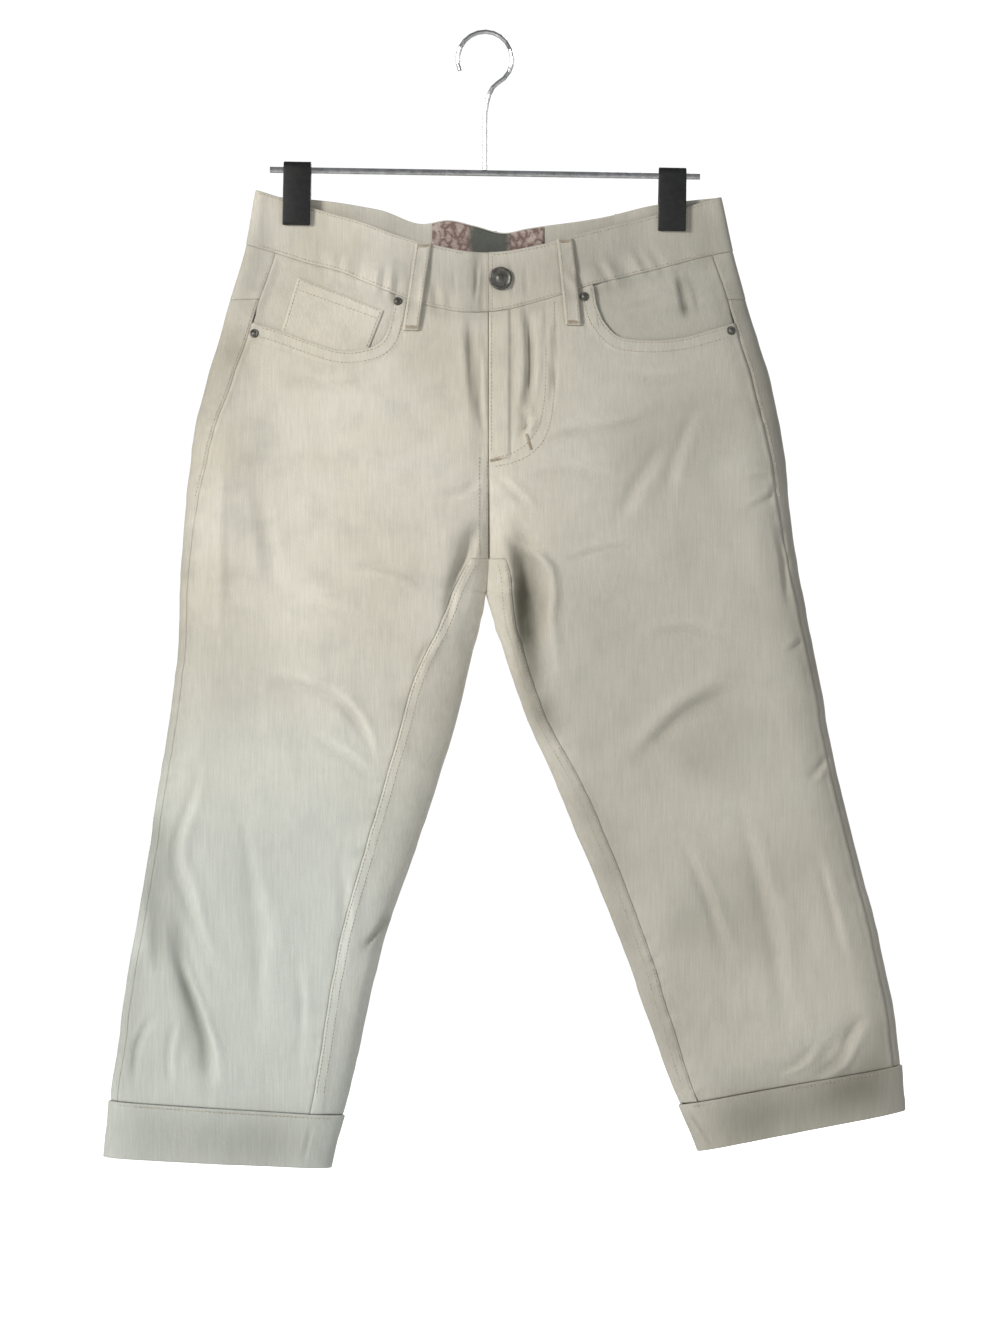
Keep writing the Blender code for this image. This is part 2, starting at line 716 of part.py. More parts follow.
def add_gusset(leg, sheet, back_numbers):
    """The stretch of the back that comes round the inner thigh to the inseam on the front."""
    drops = [(level, level) for level in FORK_ROWS]
    for step in range(1, LEG_STEPS + 1):
        seam_drop = row_drop_along(leg, step, lambda level: inseam_share(leg, level))
        drops.append((seam_drop, row_drop(leg, step, 1.0)))
    previous = None
    for order, (seam_drop, edge_drop) in enumerate(drops):
        start = turn_of_share(inseam_share(leg, seam_drop))
        row = []
        for k in range(GUSSET_COLUMNS + 1):
            t = k / GUSSET_COLUMNS
            turn = mix(start, math.pi, t)
            drop = mix(seam_drop, edge_drop, t)
            if k == GUSSET_COLUMNS and edge_drop >= APEX_DROP:
                row.append(back_numbers[order][0])
                continue
            if order == 0:
                item = nudged(leg, math.pi, drop, "front", -2.0 * HALF_GAP, HALF_GAP)
                row.append(sheet.add(("gusset", 0), *item))
                continue
            sideways = 0.0
            if k == 0:
                sideways = HALF_GAP
            if k == GUSSET_COLUMNS:
                sideways = -HALF_GAP
            item = nudged(leg, turn, drop, "front", sideways)
            row.append(sheet.add(("gusset", order, k), *item))
        if previous:
            for k in range(GUSSET_COLUMNS):
                sheet.quad(previous[k], previous[k + 1], row[k + 1], row[k])
        previous = row


# ---------------------------------------------------------------- waistband
def waistband(leg):
    """Half of the waistband, from the front opening round the side to the centre back."""
    under = leg == "right"
    columns = []
    if under:
        for x in (BAND_LAP_X, 19.0, 10.0):
            columns.append(("lap", x))
    for index in range(FRONT_COLUMNS, -1, -1):
        columns.append(("front", index))
    for k in range(WRAP_COLUMNS - 1, 0, -1):
        columns.append(("wrap", k))
    for k in range(BACK_COLUMNS, -1, -1):
        columns.append(("back", k))
    rows = []
    steps = 2
    for step in range(steps + 1):
        row = []
        t = step / steps
        for kind, value in columns:
            if kind == "lap":
                drop = mix(EDGE["front_top"](value), EDGE["front_seam"](value), t)
                turn = turn_at("left", value, drop)
                gap = -HALF_GAP if step == steps else 0.0
                row.append(nudged("left", turn, drop, "front", 0.0, gap, -(BAND_CLOTH + SEAM_GAP)))
                continue
            if kind == "front":
                share = band_seam_column(leg, front_fractions(leg)[value])[0]
            elif kind == "wrap":
                side_share = band_seam_column(leg, 0.0)[0]
                share = across_share(turn_of_share(side_share) * value / WRAP_COLUMNS)
            else:
                share = across_share(math.pi + math.pi * value / BACK_COLUMNS)
            if kind == "back" and value < BACK_COLUMNS:
                top = drop_on_edge(leg, share, "back_top")
                foot = back_seam_drop(leg, share)
                face = "back"
                turn = 2.0 * math.pi - turn_of_share(share)
            else:
                top = drop_on_edge(leg, share, "front_top")
                foot = drop_on_edge(leg, share, "front_seam")
                face = "front"
                turn = turn_of_share(share)
            drop = mix(top, foot, t)
            sideways = 0.0
            lift = 0.0
            if kind == "front" and value == FRONT_COLUMNS and not under:
                sideways = -HALF_GAP
            if kind == "back" and value == 0:
                sideways = -HALF_GAP
                turn = math.pi + 1e-5
            if kind == "front" and under:
                x = mix(OUTER[leg](drop), INNER[leg](drop), share)
                lift = lap_dip(x, drop, BAND_CLOTH + SEAM_GAP, FLY_DROP)
            gap = -HALF_GAP if step == steps else 0.0
            row.append(nudged(leg, turn, drop, face, sideways, gap, lift))
        rows.append(row)
    return grid_sheet(rows)


# ---------------------------------------------------------------- pieces that lie on a panel
def patch(corners, columns, rows, face, bow=0.0):
    """A four-cornered piece on the form: corners are (x, drop), upper pair then lower pair."""
    (x00, d00), (x10, d10), (x01, d01), (x11, d11) = corners
    grid = []
    for i in range(rows + 1):
        v = i / rows
        row = []
        for j in range(columns + 1):
            u = j / columns
            x = mix(mix(x00, x10, u), mix(x01, x11, u), v)
            drop = mix(mix(d00, d10, u), mix(d01, d11, u), v)
            row.append(on_form(x, drop, face, bow * math.sin(math.pi * v)))
        grid.append(row)
    return grid_sheet(grid)


def on_form(x, drop, face, lift=0.0):
    leg = "right" if x < CENTRE_X else "left"
    turn = turn_at(leg, x, drop)
    if face == "back":
        turn = max(2.0 * math.pi - turn, math.pi + 1e-5)
    point = surface(leg, turn, drop)
    return point, normal_at(leg, turn, drop, face), lift


Loop = namedtuple("Loop", "name face x_top drop_top x_foot drop_foot")


def loop_table():
    back_foot = BAND_WIDTH + 15.0
    rows = [Loop("belt_loop_front_right", "front", -48.8, EDGE["front_top"](-48.8), -59.2, 113.6),
            Loop("belt_loop_front_left", "front", 63.2, EDGE["front_top"](63.2), 70.4, 109.6)]
    for name, x in (("belt_loop_back_right", -104.0), ("belt_loop_back_centre", CENTRE_X),
                    ("belt_loop_back_left", 110.0)):
        top = EDGE["back_top"](x)
        rows.append(Loop(name, "back", x, top, x * 1.04, top + back_foot))
    return rows


def belt_loop(loop):
    half = 0.5 * LOOP_WIDTH
    top = loop.drop_top + LOOP_BELOW_EDGE
    corners = ((loop.x_top - half, top), (loop.x_top + half, top),
               (loop.x_foot - half, loop.drop_foot), (loop.x_foot + half, loop.drop_foot))
    sheet = patch(corners, 2, 7, loop.face, LOOP_BOW)
    cloth_solid(loop.name, sheet, LOOP_CLOTH, IVORY_BAND, LOOP_GAP + LOOP_CLOTH)


FACING_UNDER = 12.0         # how far the pocket facing runs on beneath the front
FACING_INSET = {"right": 3.3, "left": 2.4}


def pocket_facing(leg):
    """The facing behind the pocket mouth, from the side seam to just past the inner rivet."""
    fractions = front_fractions(leg)[:MOUTH_COLUMNS]
    mouth = mouth_points(leg)
    lowest = max(point.drop for point in mouth)
    beyond = MOUTH_START_X[leg] - OUTWARD[leg] * FACING_UNDER
    beyond_share = share_of(leg, beyond, 100.0)
    steps = 4
    rows = []
    for step in range(steps + 1):
        row = []
        for index in range(MOUTH_COLUMNS + 1):
            sideways = HALF_GAP if index == 0 else 0.0
            if index == MOUTH_COLUMNS:
                top = drop_on_edge(leg, beyond_share, "front_seam")
                foot = lowest
            else:
                top = band_seam_column(leg, fractions[index])[1]
                foot = mouth[index].drop + FACING_UNDER
                if index > 2:
                    foot = max(foot, lowest + 0.6 * FACING_UNDER)
            drop = mix(top, foot, step / steps)
            if index == 0:
                drop = (top, mix(top, YOKE_SIDE_DROP, 0.5), YOKE_SIDE_DROP, MOUTH_SIDE_DROP, foot)[step]
            if index == MOUTH_COLUMNS:
                share = beyond_share
            else:
                share = mix(seam_share(leg, drop), 1.0, fractions[index])
            gap = HALF_GAP if step == 0 else 0.0
            lift = -FACING_INSET[leg]
            row.append(nudged(leg, turn_of_share(share), drop, "front", sideways, gap, lift))
        rows.append(row)
    return grid_sheet(rows)


COIN_CORNERS = ((-149.6, 69.6), (-80.8, 97.6), (-164.5, 122.0), (-95.5, 136.0))


def coin_pocket():
    sheet = patch(COIN_CORNERS, 4, 3, "front")
    cloth_solid("coin_pocket", sheet, COIN_CLOTH, IVORY, -(CLOTH + SEAM_GAP))


LABEL_FROM_X = -42.4
LABEL_TO_X = 47.2
LABEL_TOP = 1.0             # below the waistband's edge
LABEL_HALF_HEIGHT = 17.0


def inner_label():
    """The label on the inside of the waistband at the back."""
    columns = 6
    rows = []
    for step in range(3):
        row = []
        for j in range(columns + 1):
            x = mix(LABEL_FROM_X, LABEL_TO_X, j / columns)
            drop = EDGE["back_top"](x) + LABEL_TOP + LABEL_HALF_HEIGHT * step
            row.append(on_form(x, drop, "back"))
        rows.append(row)
    cloth_solid("waist_label", grid_sheet(rows), LABEL_CLOTH, LABEL_PINK, -(BAND_CLOTH + SEAM_GAP))


# ---------------------------------------------------------------- cuffs
CUFF_COLUMNS = 26


def cuff(leg):
    """The turned-up cuff, one ring round the foot of the leg."""
    size = CUFFS[leg]
    sheet = Sheet()
    numbers = []
    for step in range(3):
        t = step / 2
        row = []
        for k in range(CUFF_COLUMNS):
            turn = 2.0 * math.pi * k / CUFF_COLUMNS
            share = across_share(turn)
            top = mix(size.top_outer, size.top_inner, share)
            hem = mix(size.hem_outer, size.hem_inner, share)
            drop = mix(top, hem, t)
            face = "front" if turn <= math.pi else "back"
            item = nudged(leg, turn, drop, face)
            row.append(sheet.add((step, k), *item))
        numbers.append(row)
    for upper, lower in zip(numbers, numbers[1:]):
        for k in range(CUFF_COLUMNS):
            after = (k + 1) % CUFF_COLUMNS
            sheet.quad(upper[k], upper[after], lower[after], lower[k])
    cloth_solid("cuff_" + leg, sheet, CUFF_CLOTH, IVORY_BAND, CUFF_PROUD)


# ---------------------------------------------------------------- metal
def turned(name, profile, sides, place, normal, finish):
    """A round piece from (radius, height) rows, its axis along the normal."""
    points = []
    faces = []
    for radius, height in profile:
        for i in range(sides):
            angle = 2.0 * math.pi * i / sides
            points.append(Vector((radius * math.cos(angle), radius * math.sin(angle), height)))
    for ring in range(len(profile) - 1):
        for i in range(sides):
            after = (i + 1) % sides
            faces.append([ring * sides + i, ring * sides + after,
                          (ring + 1) * sides + after, (ring + 1) * sides + i])
    faces.append(list(reversed(range(sides))))
    last = (len(profile) - 1) * sides
    faces.append([last + i for i in range(sides)])
    turn = normal.to_track_quat("Z", "Y").to_matrix().to_4x4()
    move = Matrix.Translation(place) @ turn
    add_object(name, mesh_from(name, [move @ point for point in points], faces), finish, 50.0)


BUTTON_AT = EdgePoint(12.4, 72.0)
BUTTON_PROFILE = ((5.0, 0.0), (BUTTON_RADIUS - 0.8, 1.0), (BUTTON_RADIUS, 1.9), (BUTTON_RADIUS - 0.7, 2.9),
                  (6.6, 3.2), (5.6, 2.6), (2.6, 2.7), (1.6, 3.3))
RIVET_PROFILE = ((RIVET_RADIUS, 0.0), (RIVET_RADIUS, 0.6), (2.4, 1.3), (1.2, 1.4))
RIVETS = {"rivet_front_right_inner": EdgePoint(-69.4, 90.4), "rivet_front_right_side": EdgePoint(-183.6, 116.0),
          "rivet_front_left_inner": EdgePoint(79.2, 86.6), "rivet_front_left_side": EdgePoint(196.0, 113.5)}


def fastenings():
    point, normal, _ = on_form(BUTTON_AT.x, BUTTON_AT.drop, "front")
    turned("waist_button", BUTTON_PROFILE, 20, point + normal * SEAM_GAP, normal, PEWTER)
    for name, spot in RIVETS.items():
        point, normal, _ = on_form(spot.x, spot.drop, "front")
        turned(name, RIVET_PROFILE, 12, point + normal * SEAM_GAP, normal, PEWTER)


# ---------------------------------------------------------------- the hanger
def bar_height(x):
    """Height of the bar's axis at x; the bar tilts with the clips it carries."""
    jaw_top = WAIST_Z - JAW_TOP_DROP - 0.5 * HANGER_TILT * (x + CLIP_X) / CLIP_X
    return jaw_top + BAR_ABOVE_JAW


def clip_profile():
    """Outline of a clip seen from its end, as (y, height above the bar's axis)."""
    bore = BAR_RADIUS + BAR_CLEARANCE
    back = JAW_FACE + JAW_PAD
    foot = -(BAR_ABOVE_JAW + JAW_HEIGHT)
    crown = 7.0
    points = [(-JAW_FACE, foot), (-JAW_FACE, -7.0)]
    for i in range(9):
        angle = math.radians(200.0 - 220.0 * i / 8)
        points.append((bore * math.cos(angle), bore * math.sin(angle)))
    points += [(JAW_FACE, -7.0), (JAW_FACE, foot), (back - 1.0, foot), (back, foot + 1.5)]
    points += [(back, -16.0), (crown, -10.0)]
    for i in range(7):
        angle = math.radians(180.0 * i / 6)
        points.append((crown * math.cos(angle), crown * math.sin(angle)))
    points += [(-crown, -10.0), (-back, -16.0), (-back, foot + 1.5), (-back + 1.0, foot)]
    return points


def clip(name, centre_x):
    outline = clip_profile()
    count = len(outline)
    points = []
    height = bar_height(centre_x)
    for side in (-0.5, 0.5):
        for y, up in outline:
            points.append(Vector((centre_x + side * CLIP_WIDTH, y, height + up)))
    faces = [list(range(count)), [count + i for i in reversed(range(count))]]
    for i in range(count):
        after = (i + 1) % count
        faces.append([i, i + count, after + count, after])
    piece = add_object(name, mesh_from(name, points, faces), CLIP_BLACK, 35.0)
    tilt = math.atan2(HANGER_TILT, 2.0 * CLIP_X)
    pivot = Matrix.Translation(Vector((centre_x, 0.0, height)) * MM)
    piece.data.transform(pivot @ Matrix.Rotation(tilt, 4, "Y") @ pivot.inverted())


def hanger_bar():
    points = []
    faces = []
    sides = 16
    stations = (-BAR_HALF_LENGTH, BAR_HALF_LENGTH)
    for x in stations:
        for i in range(sides):
            angle = 2.0 * math.pi * i / sides
            points.append(Vector((x, BAR_RADIUS * math.cos(angle),
                                  bar_height(x) + BAR_RADIUS * math.sin(angle))))
    for i in range(sides):
        after = (i + 1) % sides
        faces.append([i, after, after + sides, i + sides])
    faces.append(list(reversed(range(sides))))
    faces.append([sides + i for i in range(sides)])
    add_object("hanger_bar", mesh_from("hanger_bar", points, faces), STEEL, 50.0)


def hook_route():
    """Centre line of the hook: up from the bar, out to one side and over in a round crook."""
    radius = HOOK_INNER + HOOK_WIRE
    foot = bar_height(0.0) + BAR_RADIUS + SEAM_GAP
    centre = Vector((0.0, 0.0, -HOOK_INNER))
    route = [Vector((0.0, 0.0, foot))]
    start_angle = -62.0
    start = centre + radius * Vector((math.cos(math.radians(start_angle)), 0.0,
                                      math.sin(math.radians(start_angle))))
    lead = Vector((-math.sin(math.radians(start_angle)), 0.0, math.cos(math.radians(start_angle))))
    bend_from = Vector((0.0, 0.0, mix(foot, start.z, 0.55)))
    for i in range(5):
        t = i / 5
        first = (1 - t) ** 3
        second = 3 * t * (1 - t) ** 2
        third = 3 * t * t * (1 - t)
        rise = bend_from + Vector((0.0, 0.0, 12.0))
        ahead = start - lead * 9.0
        route.append(first * bend_from + second * rise + third * ahead + t ** 3 * start)
    arc_steps = 16
    end_angle = 205.0
    for i in range(arc_steps + 1):
        angle = math.radians(mix(start_angle, end_angle, i / arc_steps))
        route.append(centre + radius * Vector((math.cos(angle), 0.0, math.sin(angle))))
    return route


def hanger_hook():
    curve = bpy.data.curves.new("hanger_hook", "CURVE")
    curve.dimensions = "3D"
    curve.bevel_depth = HOOK_WIRE * MM
    curve.bevel_resolution = 2
    curve.use_fill_caps = True
    route = hook_route()
    spline = curve.splines.new("POLY")
    spline.points.add(len(route) - 1)
    for point, place in zip(spline.points, route):
        point.co = (*(place * MM), 1.0)
    curve.materials.append(metal_or_cloth("hanger_hook", STEEL))
    piece = bpy.data.objects.new("hanger_hook", curve)
    bpy.context.scene.collection.objects.link(piece)


# ---------------------------------------------------------------- the whole
def build():
    for piece in list(bpy.data.objects):
        bpy.data.objects.remove(piece, do_unlink=True)
    for leg in ("right", "left"):
        cloth_solid("front_" + leg, front_panel(leg), CLOTH, IVORY)
        cloth_solid("back_" + leg, back_panel(leg), CLOTH, IVORY)
        cloth_solid("yoke_" + leg, yoke(leg), CLOTH, IVORY)
        cloth_solid("waistband_" + leg, waistband(leg), BAND_CLOTH, IVORY_BAND)
        cloth_solid("pocket_facing_" + leg, pocket_facing(leg), FACING_CLOTH, POCKETING)
        cuff(leg)
    coin_pocket()
    for loop in loop_table():
        belt_loop(loop)
    inner_label()
    fastenings()
    clip("clip_right", -CLIP_X)
    clip("clip_left", CLIP_X)
    hanger_bar()
    hanger_hook()


build()
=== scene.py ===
"""Cropped five-pocket jeans on a clip hanger: cloth, creases, stitching and trim round the solids.

Millimetres in the tables and functions, metres on the objects.  The wearer's right is -X, the
front faces -Y and +Z is up.  A drop is a distance down from the waistband's side corner.
"""
import math

import bmesh
import bpy
import numpy as np
from mathutils import Matrix, Vector


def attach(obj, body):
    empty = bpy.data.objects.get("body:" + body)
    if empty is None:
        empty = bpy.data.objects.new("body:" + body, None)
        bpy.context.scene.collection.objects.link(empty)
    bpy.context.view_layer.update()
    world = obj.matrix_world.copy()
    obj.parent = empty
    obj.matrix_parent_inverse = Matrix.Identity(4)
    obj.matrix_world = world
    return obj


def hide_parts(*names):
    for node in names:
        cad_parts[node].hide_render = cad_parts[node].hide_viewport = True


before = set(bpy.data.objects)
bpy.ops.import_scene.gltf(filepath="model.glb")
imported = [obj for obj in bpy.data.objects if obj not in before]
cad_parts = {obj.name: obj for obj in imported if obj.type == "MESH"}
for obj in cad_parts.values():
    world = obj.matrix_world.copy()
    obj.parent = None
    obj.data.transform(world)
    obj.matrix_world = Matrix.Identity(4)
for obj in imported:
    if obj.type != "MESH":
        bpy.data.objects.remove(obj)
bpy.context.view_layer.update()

MM = 0.001
PI = math.pi

# ---------------------------------------------------------------- sizes of the hung garment
WAIST_Z = -125.0
CENTRE_X = 3.2              # centre seams and the edge of the fly
FORK_DROP = 293.6           # where the inseams meet the centre front seam
APEX_DROP = 322.4           # lowest point of the centre seam
CROSS_DROP = 295.2          # the short level seam at the top of the inseams
HIP_DROP = 160.0
FLY_DROP = 205.0
FLY_LAP_X = 22.0
BAND_LAP_X = 28.0
LAP_START_X = -14.0
BAND_WIDTH = 44.0
MOUTH_SIDE_DROP = 107.0
YOKE_SIDE_DROP = 88.0
YOKE_CENTRE_DROP = 146.0
YOKE_FOOT_DROP = 190.0
LEVEL_END_DROP = 398.0      # below this the rows turn to the cuff's slant
SEAM_GAP = 0.3
HALF_GAP = 0.04
CENTRE_GAP = {"right": -0.15, "left": 0.0}    # the right half tucks under the left
CLOTH = 1.0                 # visible wall of one layer
BAND_CLOTH = 2.6
BAND_PROUD = 0.45
CUFF_CLOTH = 2.4
CUFF_PROUD = 1.7
FACING_LIFT = -2.0
FACING_CLOTH = 0.8
COIN_LIFT = 1.1
COIN_CLOTH = 0.9
UNDER_LIFT = -1.9           # the under side of the fly
BAND_UNDER_LIFT = -3.3
LOOP_WIDTH = 12.5
LOOP_CLOTH = 2.2
LOOP_LIFT = 3.0
LOOP_BOW = 1.5
OUTWARD = {"right": -1.0, "left": 1.0}

# drop, outer edge, inner edge, side seam and inseam from their edges
LEVELS = {
    "right": (
        (0, -183.0, CENTRE_X, 25.0, 0.0), (45, -191.0, CENTRE_X, 25.0, 0.0),
        (90, -204.5, CENTRE_X, 24.0, 0.0), (150, -222.0, CENTRE_X, 21.5, 0.0),
        (210, -235.0, CENTRE_X, 14.5, 0.0), (280, -241.6, CENTRE_X, 7.5, 0.0),
        (FORK_DROP, -242.4, CENTRE_X, 7.0, 14.4), (297, -242.5, 3.0, 7.0, 16.0),
        (310, -243.0, 2.2, 6.5, 22.0), (APEX_DROP, -243.6, 0.8, 6.0, 26.5),
        (345, -244.2, -4.2, 6.0, 31.0), (410, -251.5, -18.8, 6.0, 43.0),
        (505, -265.0, -48.2, 6.0, 41.0), (600, -281.0, -80.0, 6.0, 35.0),
        (700, -296.0, -103.5, 6.0, 29.0), (785, -306.0, -125.5, 6.0, 23.0)),
    "left": (
        (0, 187.5, CENTRE_X, 17.0, 0.0), (45, 197.0, CENTRE_X, 17.0, 0.0),
        (90, 209.3, CENTRE_X, 14.5, 0.0), (150, 227.5, CENTRE_X, 15.0, 0.0),
        (210, 239.0, CENTRE_X, 12.0, 0.0), (280, 247.2, CENTRE_X, 8.0, 0.0),
        (FORK_DROP, 249.6, CENTRE_X, 7.5, 12.6), (297, 250.2, 3.0, 7.5, 14.0),
        (310, 252.4, 2.2, 7.0, 18.5), (APEX_DROP, 254.6, 0.8, 6.5, 20.5),
        (345, 258.6, 6.8, 6.0, 17.0), (410, 270.7, 28.8, 5.0, 15.0),
        (505, 290.6, 69.2, 5.0, 22.0), (600, 316.0, 108.0, 6.0, 20.0),
        (700, 332.5, 143.8, 6.0, 16.0), (785, 337.0, 178.0, 6.0, 12.0))}
LEVEL_NAMES = ("outer", "inner", "side_seam", "inseam")

# drop, depth of the front, depth of the back, how wide the rounded shoulder is
DEPTHS = ((0, 15.0, 13.0, 26.0), (150, 19.0, 17.0, 32.0), (280, 23.0, 20.0, 36.0),
          (345, 22.0, 20.0, 36.0), (505, 19.0, 17.0, 34.0), (700, 16.0, 15.0, 32.0),
          (785, 15.5, 14.5, 30.0))
DEPTH_NAMES = ("front", "back", "shoulder")
CROWN = 0.14
# distance across, depth of the waistband's front and back, pinched at the clips
BAND_DEPTHS = ((0, 14.0, 10.0), (60, 12.5, 9.0), (98, 7.5, 6.0), (127, 3.3, 3.3), (172, 3.3, 3.3),
               (185, 5.0, 5.0), (200, 6.5, 6.5))
BAND_SHOULDER = 8.0
PINCH_TOP = 34.0
PINCH_FADE = 110.0

# edges that run across the garment: x, drop
FRONT_TOP = ((-183.0, 0.0), (-150.0, 10.4), (-137.6, 14.4), (-100.0, 25.6), (-68.0, 37.6),
             (-40.8, 44.8), (-7.2, 50.4), (4.0, 50.6), (44.0, 44.8), (69.6, 37.6), (133.6, 20.8),
             (150.0, 16.5), (188.5, 5.6))
FRONT_SEAM = ((-191.0, 44.0), (-168.0, 50.4), (-140.0, 59.2), (-116.0, 65.6), (-88.0, 77.6),
              (-37.6, 95.2), (-12.0, 98.8), (4.0, 98.4), (48.0, 88.8), (85.6, 76.8), (120.8, 68.0),
              (145.6, 61.6), (178.0, 53.0), (197.0, 49.6))
BACK_TOP = ((-183.0, 0.0), (-161.6, 5.6), (-139.2, 7.2), (-84.0, 15.2), (-50.0, 26.0),
            (-30.0, 22.8), (-8.8, 27.2), (16.0, 33.0), (34.0, 29.6), (92.0, 21.6), (138.4, 11.2),
            (188.0, 5.6))
MOUTHS = {"right": ((-161.6, 114.4), (-140.0, 122.4), (-114.4, 130.0), (-92.0, 127.6),
                    (-80.6, 120.5), (-75.2, 105.0)),
          "left": ((175.2, 114.4), (157.6, 119.2), (133.6, 121.6), (108.8, 119.2), (96.8, 109.6),
                   (89.6, 96.0))}
MOUTH_START_X = {"right": -71.0, "left": 86.0}
# drops of the cuff's top and hem at the outer and the inner edge
CUFFS = {"right": (728.0, 739.5, 773.0, 781.5), "left": (699.5, 731.0, 736.0, 768.0)}

# the largest folds: leg, face, x, drop, x, drop, width, depth
FOLDS = (
    ("left", "front", 26, 258, 50, 395, 8.0, 13.0), ("right", "front", -8, 262, -29, 350, 7.0, 4.5),
    ("right", "front", -246, 545, -221, 720, 9.0, 4.5), ("left", "front", 306, 655, 260, 706, 8.0, 3.5),
    ("left", "front", 112, 462, 222, 392, 26.0, 2.5), ("right", "front", -170, 392, -92, 452, 20.0, 2.5),
    ("right", "back", -60, 330, -190, 372, 16.0, 3.5), ("left", "back", 66, 332, 205, 376, 16.0, 3.5),
    ("right", "back", -110, 480, -236, 512, 18.0, 3.0), ("left", "back", 130, 486, 262, 520, 18.0, 3.0))

